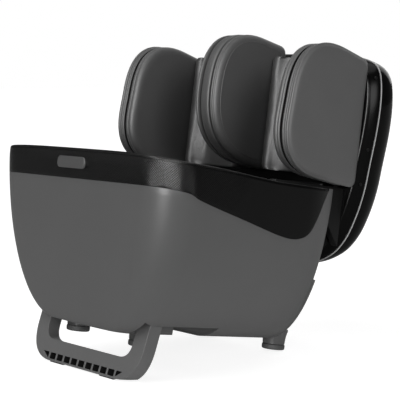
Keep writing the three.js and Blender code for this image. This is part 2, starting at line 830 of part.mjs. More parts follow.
const wheel = (x, hub) =>
  cut(
    rod(pulley.radius, "x", x, x + pulley.width, [0, 0, 0]),
    rod(hub, "x", x - overrun, x + pulley.width + overrun, [0, 0, 0], sides.pin),
  );
const driveWheels = join(
  rod(shaft.radius, "x", gap, pulley.frontX + pulley.pitch + pulley.width, [0, 0, 0], sides.pin),
  wheel(pulley.frontX, shaft.radius / 2),
  wheel(pulley.frontX + pulley.pitch, shaft.radius / 2),
);
add("drive_pulley", driveWheels, greyPlastic).position.set(0, gearbox.middle, driveShaftHeight);

function belt(x, y, z) {
  const away = point(y - gearbox.middle, z - driveShaftHeight);
  const loop = (radius) => {
    const shape = new THREE.Shape();
    shape.absarc(0, 0, radius, rightAngle, 3 * rightAngle);
    shape.absarc(away.length(), 0, radius, -rightAngle, rightAngle);
    return shape;
  };
  const shape = loop(pulley.radius + gap + pulley.belt);
  shape.holes.push(loop(pulley.radius + gap));
  const loopBand = push(shape, "x", x, x + pulley.width, curveSteps.belt);
  return loopBand.rotateX(away.angle()).translate(0, gearbox.middle, driveShaftHeight);
}

function kneadingRoller() {
  const { width, ridges, core, radius } = roller;
  const half = width / 2;
  const steps = ridges * 2;
  const profile = [point(shaft.bore, half), point(shaft.bore, -half)];
  for (let i = 0; i <= steps; i += 1) {
    const swell = Math.sin((Math.PI * ridges * i) / steps) ** 2;
    profile.push(point(core + (radius - core) * swell, -half + (width * i) / steps));
  }
  profile.push(profile[0].clone());
  return new THREE.LatheGeometry(profile, sides.roller).rotateZ(-rightAngle);
}

[["front", roller.frontY, 0], ["rear", roller.rearY, pulley.pitch]].forEach(([name, y, offset]) => {
  const axle = new THREE.Group();
  axle.position.set(0, y, roller.height);
  device.add(axle);
  add(`${name}_shaft`, rod(shaft.radius, "x", -shaft.end, shaft.end, [0, 0, 0], sides.pin), steel, axle);
  const middleX = roller.inner + roller.width / 2;
  add(`${name}_roller_right`, kneadingRoller(), softRubber, axle).position.x = middleX;
  add(`${name}_roller_left`, kneadingRoller(), softRubber, axle).position.x = -middleX;
  add(`${name}_pulley`, wheel(pulley.frontX + offset, shaft.bore), greyPlastic, axle);
  add(`${name}_belt`, belt(pulley.frontX + offset, y, roller.height), blackPlastic);
});

function bearingRail() {
  const { inner, thickness, halfLength, cap } = bearing;
  const front = roller.frontY - halfLength;
  const rear = roller.rearY + halfLength;
  const low = chassisTop;
  const profile = new THREE.Shape([
    point(front, low),
    point(rear, low),
    point(rear, roller.height + cap),
    point(rear - 2 * halfLength, roller.height + cap),
    point(rear - 2 * halfLength, low + cap),
    point(front + 2 * halfLength, low + cap),
    point(front + 2 * halfLength, roller.height + cap),
    point(front, roller.height + cap),
  ]);
  const bores = [roller.frontY, roller.rearY].map((y) =>
    rod(shaft.bore, "x", inner - overrun, inner + thickness + overrun, [0, y, roller.height], sides.pin),
  );
  return cut(push(profile, "x", inner, inner + thickness), ...bores);
}

addPair("bearing_rail", bearingRail(), blackPlastic);

// Air pump, power supply and mains inlet on the chassis

const pumpBody = box(
  [pump.x - pump.length / 2, pump.y - pump.width / 2, chassisTop],
  [pump.x + pump.length / 2, pump.y + pump.width / 2, chassisTop + pump.height],
);
const pumpTop = chassisTop + pump.height;
const pumpDome = rod(pump.dome, "z", pumpTop - gap, pumpTop + pump.domeHeight, [pump.x, pump.y, 0]);
add("air_pump", join(pumpBody, pumpDome), blackPlastic);
add(
  "power_supply",
  box(
    [-supply.halfWidth, supply.front, chassisTop],
    [supply.halfWidth, supply.front + supply.depth, chassisTop + supply.height],
  ),
  blackPlastic,
);

function mainsInlet() {
  const { width, height, depth, flange, lip, level } = inlet;
  const face = tubRear(level + height / 2 + flange) + gap;
  const [low, high] = [level - height / 2, level + height / 2];
  const body = box([-width / 2, face - depth, low], [width / 2, face + lip / 2, high]);
  const plate = box(
    [-width / 2 - flange, face, low - flange],
    [width / 2 + flange, face + lip, high + flange],
  );
  const mouth = box(
    [-width / 2 + flange, face - depth + flange, low + flange],
    [width / 2 - flange, face + lip + overrun, high - flange],
  );
  return cut(join(body, plate), mouth);
}

add("mains_inlet", mainsInlet(), blackPlastic);

// Tilt pivots inside the horns

function pivotBoss() {
  const outer = rod(pivot.radius, "x", ear.inner + ear.thickness + gap, tub.halfWidth, [0, pivot.y, pivot.z]);
  const bore = rod(pivot.bore, "x", ear.inner, tub.halfWidth + overrun, [0, pivot.y, pivot.z]);
  return cut(common(outer, tubRoom(gap)), bore);
}

addPair("pivot_boss", pivotBoss(), blackPlastic);
addPair(
  "pivot_pin",
  join(
    rod(pivot.pin, "x", ear.inner - gap - pivot.headHeight / 2, pivot.end, [0, pivot.y, pivot.z]),
    rod(pivot.head, "x", ear.inner - gap - pivot.headHeight, ear.inner - gap, [0, pivot.y, pivot.z]),
  ),
  steel,
);

function tiltEar() {
  const { inner, thickness, armFront, armFoot, armTop, radius, rearFoot } = ear;
  const rear = calf.front - gap;
  const profile = new THREE.Shape([
    point(armFront, armFoot),
    point(pivot.y - radius, armFoot),
    point(pivot.y - radius, pivot.z),
    point(pivot.y + radius, pivot.z),
    point(rear, rearFoot),
    point(rear, armTop),
    point(armFront, armTop),
  ]);
  const round = rod(radius, "x", inner, inner + thickness, [0, pivot.y, pivot.z], sides.large);
  const bore = rod(pivot.bore, "x", inner - overrun, inner + thickness + overrun, [0, pivot.y, pivot.z]);
  return cut(join(push(profile, "x", inner, inner + thickness), round), bore);
}

addPair("tilt_ear", tiltEar(), blackPlastic);

// Calf housing: a front frame, a bright seam trim and a gloss rear shell

// Half the housing's outline, from the top's middle to the bottom's: shares of its half width and height.
const calfOutlineShares = [
  [0, 1],
  [0.4, 0.997],
  [0.7, 0.985],
  [0.88, 0.96],
  [0.965, 0.91],
  [1, 0.8],
  [0.997, 0.66],
  [0.967, 0.5],
  [0.943, 0.38],
  [0.895, 0.265],
  [0.812, 0.15],
  [0.68, 0.068],
  [0.45, 0.018],
  [0, 0],
];
const calfHeight = calf.top - calf.bottom;
const calfMiddle = (calf.top + calf.bottom) / 2;
const calfCurve = new THREE.SplineCurve(
  calfOutlineShares.map(([x, z]) => point(x * calf.halfWidth, (z - 1 / 2) * calfHeight)),
);
const calfSteps = 16;

function calfRing(inset, y) {
  const half = calfCurve.getSpacedPoints(calfSteps);
  const across = 1 - inset / calf.halfWidth;
  const up = 1 - (2 * inset) / calfHeight;
  const place = (corner, side) => new THREE.Vector3(side * corner.x * across, y, calfMiddle + corner.y * up);
  const other = half.slice(1, -1).reverse();
  return [...half.map((corner) => place(corner, 1)), ...other.map((corner) => place(corner, -1))];
}

// How far the rear shell's outline has drawn in: flatter than an ellipse at first, then closing fast.
const rearShellPower = 2.6;
const shellSide = (y) => {
  const share = (y - calf.seam) / (calf.rear - calf.seam);
  return calf.rearInset * (1 - Math.sqrt(Math.max(1 - share ** rearShellPower, 0)));
};

// Places along y behind the housing's face: the kneading discs, then the plates of their motors.
const kneadFace = { front: calf.front + wall + knead.clear };
kneadFace.back = kneadFace.front + knead.thickness;
kneadFace.plate = kneadFace.back + knead.clear;

function calfFrame() {
  const { front, seam: back, frontInset, edge } = calf;
  const end = back - calf.trimWidth / 2 - gap;
  let frame = loft([
    calfRing(frontInset + edge, front),
    calfRing(frontInset, front + edge / 2),
    calfRing(0, end),
    calfRing(wall, end),
    calfRing(frontInset + wall, front + wall),
  ]);
  const lower = (inset, from, to, top) =>
    common(
      loft([calfRing(inset, from), calfRing(inset, to)]),
      box(
        [frontInset + inset - calf.lowerHalfWidth, from, calf.bottom],
        [calf.lowerHalfWidth - frontInset - inset, to, top],
      ),
    );
  frame = join(frame, lower(frontInset, calf.innerFront, front + wall / 2, calf.lowerTop));
  const deepest = front + wall + overrun;
  const hollow = lower(frontInset + wall, calf.innerFront + wall, deepest, calf.lowerTop - wall);
  const holes = [-knead.x, knead.x].map((x) =>
    rod(knead.radius + knead.rim, "y", front - overrun, front + wall + overrun, [x, 0, knead.z]),
  );
  const bosses = [];
  for (const x of [-knead.x, knead.x]) {
    for (const side of [-1, 1]) {
      const place = [x + side * (knead.radius + kneadMotor.boss * 2), 0, knead.z];
      bosses.push(rod(kneadMotor.boss, "y", front + wall / 2, kneadFace.plate - gap, place, sides.pin));
    }
  }
  return join(cut(frame, hollow, ...holes), ...bosses);
}

add("calf_frame", calfFrame(), blackPlastic);

function kneadingDisc() {
  const { radius, nub, nubReach, nubHeight, hub, thickness } = knead;
  const nubs = [0, 1, 2].map((i) => {
    const turn = (i * Math.PI * 2) / 3;
    const place = [nubReach * Math.cos(turn), 0, nubReach * Math.sin(turn)];
    return rod(nub, "y", kneadFace.front - nubHeight, kneadFace.front + thickness / 2, place, sides.pin);
  });
  const { front, back } = kneadFace;
  return join(
    rod(radius, "y", front, back, [0, 0, 0], sides.large),
    rod(hub, "y", back - thickness / 2, back + kneadMotor.length / 2, [0, 0, 0], sides.pin),
    ...nubs,
  );
}

function kneadingMotor() {
  const halfPlate = knead.radius + kneadMotor.boss * 3;
  const { plate } = kneadFace;
  const sheet = box([-halfPlate, plate, -kneadMotor.plate], [halfPlate, plate + wall, kneadMotor.plate]);
  const can = rod(kneadMotor.radius, "y", plate + wall / 2, plate + kneadMotor.length, [0, 0, 0]);
  const boreEnd = kneadFace.back + kneadMotor.length / 2 + gap;
  const bore = rod(knead.hub + gap, "y", plate - overrun, boreEnd, [0, 0, 0], sides.pin);
  return cut(join(sheet, can), bore);
}

for (const [side, x] of [["left", -knead.x], ["right", knead.x]]) {
  add(`kneading_disc_${side}`, kneadingDisc(), greyPlastic).position.set(x, 0, knead.z);
  add(`kneading_motor_${side}`, kneadingMotor(), motorSteel).position.set(x, 0, knead.z);
}

const trimFront = calf.seam - calf.trimWidth / 2;
const trimRear = calf.seam + calf.trimWidth / 2;
add(
  "seam_trim",
  loft(
    [
      calfRing(-calf.trimProud, trimFront),
      calfRing(-calf.trimProud, trimRear),
      calfRing(wall, trimRear),
      calfRing(wall, trimFront),
    ],
    true,
  ),
  silverTrim,
);

const rearShares = [0, 0.3, 0.6, 0.8, 0.93, 1];
const rearSkin = (from, to, inset) =>
  rearShares.map((share) => {
    const y = from + (to - from) * share;
    return calfRing(shellSide(calf.seam + (calf.rear - calf.seam) * share) + inset, y);
  });
add(
  "rear_shell",
  loft([
    ...rearSkin(trimRear + gap, calf.rear - wall, wall).reverse(),
    ...rearSkin(trimRear + gap, calf.rear, 0),
  ]),
  blackGloss,
);

// Pads

const padColumns = 29;

// A pad's outline in (y, z).
const padOutline = (form, corners, rounds) =>
  rounded(
    [
      point(form.front, tub.sideRim + corners.frontFoot),
      point(form.rear, tub.sideRim + corners.rearFoot),
      point(form.rear, tub.sideRim + corners.rearTop),
      point(form.front + form.lean, tub.sideRim + corners.frontTop),
    ],
    [rounds.frontFoot, rounds.rearFoot, rounds.rearTop, rounds.frontTop],
  );

// Shares of the half thickness, and of the edge's width, from the side band to the crown of the face.
const crownShares = [
  [0.62, 0.02],
  [0.8, 0.12],
  [0.92, 0.36],
  [0.97, 1],
  [1, 2.4],
];

// An upholstered wall: crowned faces, soft edges and a sewn channel where each zip runs round its side.
function pad(form, corners, rounds, seamPlaces) {
  const outline = padOutline(form, corners, rounds).getSpacedPoints(padColumns).slice(0, -1);
  const bounds = new THREE.Box2().setFromPoints(outline);
  const centre = bounds.getCenter(point(0, 0));
  const size = bounds.getSize(point(0, 0));
  const half = form.thickness / 2;
  const ring = (x, inset) =>
    outline.map((place) => {
      const y = centre.x + (place.x - centre.x) * (1 - (2 * inset) / size.x);
      const z = centre.y + (place.y - centre.y) * (1 - (2 * inset) / size.y);
      return new THREE.Vector3(form.centre + x, y, z);
    });
  const edge = crownShares.map(([across, inset]) => [half * across, padEdge * inset]);
  const channels = seamPlaces.flatMap((place) => [
    [place - seam.halfWidth, 0],
    [place, seam.depth],
    [place + seam.halfWidth, 0],
  ]);
  const far = edge.map(([x, inset]) => [-x, inset]).reverse();
  return loft([...far, ...channels, ...edge].map(([x, inset]) => ring(x, inset)));
}

addPair("side_pad", pad(wing, wingCorners, wingRounds, [0]), leatherette);
const middleSeam = middle.thickness * middleSeamShare;
add("middle_pad", pad(middle, middleCorners, middleRounds, [-middleSeam, middleSeam]), leatherette);

// A calf pad: a cradle that curves forward at both sides, with soft ends.
function cradlePad() {
  const { inner, outer, bottom, top, back, thickness, cradle, edge } = calfPad;
  const front = back - thickness;
  const tip = front - cradle;
  const shape = new THREE.Shape();
  shape.moveTo(inner, back);
  shape.lineTo(outer, back);
  shape.lineTo(outer, tip);
  shape.lineTo(outer - thickness, tip);
  shape.quadraticCurveTo(outer - thickness * 2, front, (inner + outer) / 2, front);
  shape.quadraticCurveTo(inner + thickness * 2, front, inner + thickness, tip);
  shape.lineTo(inner, tip);
  shape.closePath();
  return new THREE.ExtrudeGeometry(shape, {
    depth: top - bottom - 2 * edge,
    bevelEnabled: true,
    bevelThickness: edge,
    bevelSize: edge,
    bevelOffset: -edge,
    bevelSegments: 2,
    curveSegments: curveSteps.cradle,
  }).translate(0, 0, bottom + edge);
}

addPair("calf_pad", cradlePad(), leatherette);

// The whole part stands on z = 0, with the middle of its box over the origin.
device.rotation.x = -tilt;
const part = new THREE.Group();
part.add(device);
part.updateMatrixWorld(true);
const extent = new THREE.Box3().setFromObject(part, true);
const middleOfBase = extent.getCenter(new THREE.Vector3()).setZ(extent.min.z);
device.position.sub(middleOfBase);

export default part;
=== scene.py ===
import json
import math

import bmesh
import bpy
from mathutils import Matrix, Vector
from mathutils.bvhtree import BVHTree

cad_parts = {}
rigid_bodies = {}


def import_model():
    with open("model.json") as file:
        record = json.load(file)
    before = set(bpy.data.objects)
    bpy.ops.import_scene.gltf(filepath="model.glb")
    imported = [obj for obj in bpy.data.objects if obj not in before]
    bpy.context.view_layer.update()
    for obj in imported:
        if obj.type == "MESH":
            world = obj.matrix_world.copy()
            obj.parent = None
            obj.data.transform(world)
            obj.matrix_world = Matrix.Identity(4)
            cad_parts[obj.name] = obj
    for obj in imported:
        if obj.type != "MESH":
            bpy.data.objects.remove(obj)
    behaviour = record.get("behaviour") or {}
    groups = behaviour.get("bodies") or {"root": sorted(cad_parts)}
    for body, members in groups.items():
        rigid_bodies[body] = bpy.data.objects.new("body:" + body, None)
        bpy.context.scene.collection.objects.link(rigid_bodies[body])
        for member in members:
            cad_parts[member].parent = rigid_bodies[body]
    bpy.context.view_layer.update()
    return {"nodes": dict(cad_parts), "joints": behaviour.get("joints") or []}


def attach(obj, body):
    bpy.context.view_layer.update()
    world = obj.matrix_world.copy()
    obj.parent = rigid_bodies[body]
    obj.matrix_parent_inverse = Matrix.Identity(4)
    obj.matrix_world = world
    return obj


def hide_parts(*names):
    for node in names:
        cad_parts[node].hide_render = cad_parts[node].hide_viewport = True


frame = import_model()
joints = {joint["name"]: joint for joint in frame["joints"]}

# The device leans back on its stand: shapes are drawn in its own millimetres, level with its feet, then placed.
pressAxis = joints["power_key_press"]["axis"]
calfPivot = Vector((0, 75, 200))
leanBack = math.atan2(-pressAxis[1], -pressAxis[2])
turn = Matrix.Rotation(-leanBack, 4, "X") @ Matrix.Scale(0.001, 4)
placeDevice = Matrix.Translation(Vector(joints["calf_tilt"]["pos_m"]) - turn @ calfPivot) @ turn
toDevice = placeDevice.inverted()

# Camera, light and floor

studio = {
    "cameraPlace": (1482.6, -1264.3, 200.8),  # in the device's millimetres
    "looksAlong": (-0.7573, 0.6462, -0.0941),
    "lens": 119.72,
    "sensor": 36,
    "nearest": 0.05,
    "floorSize": 60.0,
    "skyLight": 0.1,
    "skySeen": 1.0,
    "floorGlow": 0.85,
    "floorCast": 0.7,
    "suns": [
        # name, where it stands, strength, how wide it looks in degrees
        ("upperScrim", (-0.15, -0.65, 0.8), 1.45, 50),
        ("keyScrim", (0.93, -0.3, 0.3), 0.75, 22),
        ("rearScrim", (-0.3, 0.85, 0.5), 0.7, 50),
    ],
    "softboxes": [
        # name, place, size, power, height it is aimed at: they only make highlights
        ("cornerStrip", (1.4, -2.3, 0.9), (0.9, 2.0), 170, 0.3),
        ("ceilingPanel", (0.3, 0.2, 3.2), (2.6, 2.2), 30, 0.3),
    ],
}


def setAll(thing, **settings):
    for key, value in settings.items():
        setattr(thing, key, value)
    return thing


def addObject(name, data):
    thing = bpy.data.objects.new(name, data)
    bpy.context.collection.objects.link(thing)
    return thing


def aim(thing, place, direction):
    thing.location = place
    thing.rotation_euler = Vector(direction).to_track_quat("-Z", "Y").to_euler()
    return thing


def addCamera():
    data = bpy.data.cameras.new("camera")
    setAll(data, lens=studio["lens"], sensor_width=studio["sensor"], clip_start=studio["nearest"])
    camera = addObject("camera", data)
    bpy.context.scene.camera = aim(camera, placeDevice @ Vector(studio["cameraPlace"]), studio["looksAlong"])


def addLamps():
    for name, place, strength, width in studio["suns"]:
        sun = setAll(bpy.data.lights.new(name, "SUN"), energy=strength, angle=math.radians(width))
        aim(addObject(name, sun), place, -Vector(place))
    for name, place, (width, height), power, level in studio["softboxes"]:
        box = setAll(bpy.data.lights.new(name, "AREA"), shape="RECTANGLE", size=width, size_y=height, energy=power)
        aim(addObject(name, box), place, Vector((0, 0, level)) - Vector(place)).visible_diffuse = False


def toLinear(code):
    channels = [int(code[i : i + 2], 16) / 255 for i in (1, 3, 5)]
    return [c / 12.92 if c <= 0.04045 else ((c + 0.055) / 1.055) ** 2.4 for c in channels] + [1]


def addNode(tree, kind, inputs=(), **settings):
    node = setAll(tree.nodes.new(f"ShaderNode{kind}"), **settings)
    for socket, value in dict(inputs).items():
        if isinstance(value, bpy.types.NodeSocket):
            tree.links.new(value, node.inputs[socket])
        else:
            node.inputs[socket].default_value = value
    return node


def calculate(tree, operation, *values):
    return addNode(tree, "Math", dict(enumerate(values)), operation=operation).outputs[0]


def mapRange(tree, value, low, high, start=0.0, end=1.0):
    inputs = {"Value": value, "From Min": start, "From Max": end, "To Min": low, "To Max": high}
    return addNode(tree, "MapRange", inputs).outputs["Result"]


def startMaterial(slot, name, colour, **sockets):
    material = bpy.data.materials.new(name)
    material.use_nodes = True
    shader = material.node_tree.nodes["Principled BSDF"]
    shader.inputs["Base Color"].default_value = toLinear(colour)
    for socket, value in sockets.items():
        shader.inputs[socket.replace("_", " ")].default_value = value
    return material, material.node_tree, shader


def addSky():
    world = bpy.data.worlds.new("studioSky")
    world.use_nodes = True
    background = world.node_tree.nodes["Background"]
    background.inputs["Color"].default_value = (1, 1, 1, 1)
    # the backdrop is seen white, and lights the room less than it looks
    seen = addNode(world.node_tree, "LightPath").outputs["Is Camera Ray"]
    strength = mapRange(world.node_tree, seen, studio["skyLight"], studio["skySeen"])
    world.node_tree.links.new(strength, background.inputs["Strength"])
    bpy.context.scene.world = world
    bpy.context.scene.view_settings.view_transform = "Standard"


def addFloor():
    bm = bmesh.new()
    bmesh.ops.create_grid(bm, x_segments=1, y_segments=1, size=studio["floorSize"] / 2)
    mesh = bpy.data.meshes.new("floor")
    bm.to_mesh(mesh)
    bm.free()
    floor = addObject("floor", mesh)
    # pale acrylic lit from below, as a product table is: seen white, and kept out of the gloss
    acrylic, tree, shader = startMaterial(None, "backlitOpalAcrylic", "#adadad", Roughness=0.9)
    shader.inputs["Emission Color"].default_value = (1, 1, 1, 1)
    rays = addNode(tree, "LightPath").outputs
    cast = calculate(tree, "MULTIPLY", rays["Is Diffuse Ray"], studio["floorCast"])
    glow = calculate(tree, "MULTIPLY_ADD", rays["Is Camera Ray"], studio["floorGlow"], cast)
    tree.links.new(glow, shader.inputs["Emission Strength"])
    mesh.materials.append(acrylic)


addCamera()
addLamps()
addSky()
addFloor()
print("stage: camera, light and floor are set")

# Materials. Every pattern is scaled from a real size: a texture's scale is cells per metre.


def objectPlace(tree):
    return addNode(tree, "TexCoord").outputs["Object"]


def perMetre(millimetres):
    return 1000 / millimetres


def noise(tree, place, size, detail):
    return addNode(tree, "TexNoise", {"Vector": place, "Scale": perMetre(size), "Detail": detail}).outputs


def mixColours(tree, shader, factor, one, other):
    # a mix node's sockets 6 and 7 are its two colours, and 2 their mixture
    inputs = {"Factor": factor, 6: toLinear(one), 7: toLinear(other)}
    mix = addNode(tree, "Mix", inputs, data_type="RGBA")
    tree.links.new(mix.outputs[2], shader.inputs["Base Color"])


def varyRoughness(tree, shader, value, low, high):
    tree.links.new(mapRange(tree, value, low, high), shader.inputs["Roughness"])


def addBump(tree, shader, height, strength, distance, invert=False):
    inputs = {"Height": height, "Strength": strength, "Distance": distance}
    bump = addNode(tree, "Bump", inputs, invert=invert)
    tree.links.new(bump.outputs["Normal"], shader.inputs["Normal"])


moulded = {"cloud": 70, "spread": 0.05, "relief": 0.0004}


def mouldedPlastic(slot, name, colour, clouded, roughness, grain, depth, shine=0.5):
    # injection moulded: a fine spark-eroded grain, and faint clouding where the melt flowed
    sockets = {"Roughness": roughness, "IOR": 1.5, "Specular_IOR_Level": shine}
    material, tree, shader = startMaterial(slot, name, colour, **sockets)
    place = objectPlace(tree)
    spark = noise(tree, place, grain, 3.0)["Fac"]
    mixColours(tree, shader, noise(tree, place, moulded["cloud"], 2.0)["Fac"], colour, clouded)
    varyRoughness(tree, shader, spark, roughness - moulded["spread"], roughness + moulded["spread"])
    addBump(tree, shader, spark, depth, moulded["relief"])
    return material


grained = {"pebble": 1.5, "swirl": 9, "wander": 0.002, "worn": 45, "depth": 0.35, "relief": 0.0003}


def grainedLeatherette(slot, name, colour, worn):
    # polyurethane coated cloth, embossed with a pebble grain: soft sheen, and a tone that wanders a little over large
    # patches
    sockets = {"Roughness": 0.5, "IOR": 1.48, "Sheen_Weight": 0.12, "Sheen_Roughness": 0.4}
    material, tree, shader = startMaterial(slot, name, colour, **sockets)
    place = objectPlace(tree)
    swirl = noise(tree, place, grained["swirl"], 2.0)["Color"]
    wander = addNode(tree, "VectorMath", {0: swirl, 1: (grained["wander"],) * 3}, operation="MULTIPLY").outputs[0]
    moved = addNode(tree, "VectorMath", {0: place, 1: wander}, operation="ADD").outputs[0]
    cells = {"Vector": moved, "Scale": perMetre(grained["pebble"]), "Smoothness": 0.6}
    pebbles = addNode(tree, "TexVoronoi", cells, feature="SMOOTH_F1").outputs["Distance"]
    mixColours(tree, shader, noise(tree, place, grained["worn"], 3.0)["Fac"], colour, worn)
    varyRoughness(tree, shader, pebbles, 0.42, 0.62)
    addBump(tree, shader, pebbles, grained["depth"], grained["relief"], invert=True)
    return material


knurled = {"pitch": 3.2, "depth": 1.0, "relief": 0.00016, "fadeFrom": 285.0, "fadeTo": 330.0}


def diamondPlastic(slot, name, colour):
    # black ABS with a fine diamond knurl cut in the mould round the front, polished smooth towards the horns
    # drawn at three millimetres, where the real one is about two, so that it shows at this size
    material, tree, shader = startMaterial(slot, name, colour, Roughness=0.2, IOR=1.5, Specular_IOR_Level=0.28)
    arc, height = [addNode(tree, "Attribute", attribute_name=word).outputs["Fac"] for word in ("arc", "height")]
    ridges = []
    for sign in (1.0, -1.0):
        along = calculate(tree, "ADD", arc, calculate(tree, "MULTIPLY", height, sign))
        turns = calculate(tree, "MULTIPLY", along, math.tau / knurled["pitch"])
        ridges.append(calculate(tree, "SINE", turns))
    far = calculate(tree, "ABSOLUTE", arc)
    mask = mapRange(tree, far, 1.0, 0.0, knurled["fadeFrom"], knurled["fadeTo"])
    knurl = calculate(tree, "MULTIPLY", calculate(tree, "MINIMUM", *ridges), mask)
    addBump(tree, shader, knurl, knurled["depth"], knurled["relief"])
    varyRoughness(tree, shader, mask, 0.12, 0.2)
    return material


def brushedMetal(slot, name, colour, roughness, lineWidth):
    # turned or drawn metal: fine lines that run with the work
    material, tree, shader = startMaterial(slot, name, colour, Roughness=roughness, Metallic=1.0)
    drawn = addNode(tree, "Mapping", {"Vector": objectPlace(tree), "Scale": (1.0, 0.06, 1.0)})
    lines = noise(tree, drawn.outputs["Vector"], lineWidth, 4.0)["Fac"]
    varyRoughness(tree, shader, lines, roughness - 0.08, roughness + 0.12)
    return material


def knittedLining(slot, name, colour, gaps, rib):
    # warp-knitted mesh over thin foam: small loops in rows
    material, tree, shader = startMaterial(slot, name, colour, Roughness=0.85, Sheen_Weight=0.3)
    cells = {"Vector": objectPlace(tree), "Scale": perMetre(rib), "Randomness": 0.35}
    loops = addNode(tree, "TexVoronoi", cells).outputs["Distance"]
    mixColours(tree, shader, loops, colour, gaps)
    addBump(tree, shader, loops, 0.6, 0.0005, invert=True)
    return material


greyAbs = mouldedPlastic("shell", "sparkGrainedGreyAbs", "#5c5c5c", "#585858", 0.36, 0.7, 0.1, shine=0.18)
greyNylon = mouldedPlastic("grey_plastic", "mouldedGreyNylon", "#646464", "#5c5c5c", 0.48, 0.5, 0.18)
blackGloss = mouldedPlastic("gloss_black", "polishedBlackAbs", "#060606", "#080808", 0.12, 1.2, 0.01, shine=0.12)
blackSatin = mouldedPlastic("black_plastic", "satinBlackAbs", "#080808", "#070707", 0.22, 0.6, 0.05, shine=0.12)
blackNylon = mouldedPlastic("black_plastic", "glassFilledBlackNylon", "#111111", "#0e0e0e", 0.5, 0.4, 0.25, shine=0.3)
silverTrim = mouldedPlastic("trim", "silverPaintedAbs", "#b6b6b6", "#adadad", 0.25, 0.8, 0.02)
badgeGrey = mouldedPlastic("badge", "satinGreyBadgeAbs", "#505050", "#4b4b4b", 0.42, 0.5, 0.05)
rubberGrey = mouldedPlastic("rubber", "mouldedGreyTpe", "#4a4a4a", "#444444", 0.7, 0.8, 0.3)
rubberBlack = mouldedPlastic("rubber", "mouldedBlackTpe", "#191919", "#151515", 0.7, 0.8, 0.35)
boardGreen = mouldedPlastic("board", "solderMaskedGlassFibre", "#244f34", "#1e452d", 0.35, 1.0, 0.05)
bandKnurl = diamondPlastic("textured_band", "knurledBlackAbs", "#050505")
leatherette = grainedLeatherette("leatherette", "pebbledGreyLeatherette", "#535353", "#595959")
# the same grey leatherette made darker for the calf cushions: painted shade, for the shade they lie in between the
# walls
shadeDarkenedLeatherette = grainedLeatherette("leatherette", "pebbledGreyLeatheretteDarkenedForShade", "#3a3a3a", "#3f3f3f")
lining = knittedLining("lining", "knittedPolyesterLining", "#2e2e2e", "#0e0e0e", 1.8)
steel = brushedMetal("steel", "turnedSteel", "#b9bbbe", 0.28, 0.3)
canSteel = brushedMetal("metal_can", "zincPlatedSteel", "#9a9c9f", 0.35, 0.5)
# black zip tape, which also lines the zip grooves' walls as painted shade
zipAndGrooveShadeBlack = mouldedPlastic("black_plastic", "blackNylonZipAndGrooveShade", "#050505", "#090909", 0.5, 0.4, 0.4, shine=0.3)
print("stage: materials are made")

# Shapes, all in the device's millimetres


def closedLoop(bm, places):
    verts = [bm.verts.new(place) for place in places]
    return [bm.edges.new((verts[i - 1], verts[i])) for i in range(len(verts))]


def openChain(bm, places):
    verts = [bm.verts.new(place) for place in places]
    return [bm.edges.new(pair) for pair in zip(verts, verts[1:])]


def bridgeAll(bm, loops, closed=False):
    pairs = list(zip(loops, loops[1:]))
    if closed:
        pairs.append((loops[-1], loops[0]))
    for one, other in pairs:
        bmesh.ops.bridge_loops(bm, edges=one + other)


def capLoop(bm, loop):
    bmesh.ops.edgeloop_fill(bm, edges=loop)


def capWhere(bm, test):
    capLoop(bm, [edge for edge in bm.edges if edge.is_boundary and all(test(vert.co) for vert in edge.verts)])


def everything(bm):
    return bm.verts[:] + bm.edges[:] + bm.faces[:]


def mirrorAcross(bm):
    bmesh.ops.mirror(bm, geom=everything(bm), axis="X", merge_dist=0.01)


def cutLevel(bm, height):
    # cuts off what lies below a level plane of the frame, height in metres
    up = (toDevice.to_3x3() @ Vector((0, 0, 1))).normalized()
    plane = {"plane_co": toDevice @ Vector((0, 0, height)), "plane_no": up}
    found = bmesh.ops.bisect_plane(bm, geom=everything(bm), clear_inner=True, **plane)
    edges = [item for item in found["geom_cut"] if isinstance(item, bmesh.types.BMEdge)]
    if edges:
        capLoop(bm, edges)


def loftBody(rings, capped=True, closed=False):
    bm = bmesh.new()
    loops = [closedLoop(bm, ring) for ring in rings]
    bridgeAll(bm, loops, closed)
    if capped and not closed:
        capLoop(bm, loops[0])
        capLoop(bm, loops[-1])
    return bm


axisGap = 0.01


def lathe(profile, centre, axis, steps=48):
    # profile: places along the axis and radii, from one end's rim to the other's
    profile = [(profile[0][0], axisGap), *profile, (profile[-1][0], axisGap)]
    bm = bmesh.new()
    axis = Vector(axis).normalized()
    side = axis.orthogonal().normalized()
    verts = [bm.verts.new(Vector(centre) + axis * along + side * radius) for along, radius in profile]
    edges = [bm.edges.new(pair) for pair in zip(verts, verts[1:])]
    bmesh.ops.spin(
        bm, geom=verts + edges, cent=centre, axis=axis, dvec=(0, 0, 0), angle=math.tau, steps=steps, use_merge=True
    )
    return bm


def lengthsAlong(places):
    lengths = [0.0]
    for one, other in zip(places, places[1:]):
        lengths.append(lengths[-1] + (other - one).length)
    return lengths


def resample(places, count):
    # spreads its places evenly round a closed outline
    places = [Vector(place) for place in places]
    places.append(places[0])
    lengths = lengthsAlong(places)
    found, step = [], 0
    for i in range(count):
        target = lengths[-1] * i / count
        while step < len(lengths) - 2 and lengths[step + 1] < target:
            step += 1
        span = lengths[step + 1] - lengths[step]
        share = (target - lengths[step]) / span if span else 0
        found.append(places[step].lerp(places[step + 1], min(max(share, 0), 1)))
    return found


def quadratic(one, bend, other, count):
    one, bend, other = Vector(one), Vector(bend), Vector(other)
    return [one * (1 - t) ** 2 + bend * 2 * t * (1 - t) + other * t * t for t in (k / count for k in range(count + 1))]


def roundedOutline(corners, radii, count, bend=14):
    dense = []
    for i, corner in enumerate(corners):
        corner = Vector(corner)
        start = corner + (Vector(corners[i - 1]) - corner).normalized() * radii[i]
        end = corner + (Vector(corners[(i + 1) % len(corners)]) - corner).normalized() * radii[i]
        dense += quadratic(start, corner, end, bend)
    return resample(dense, count)


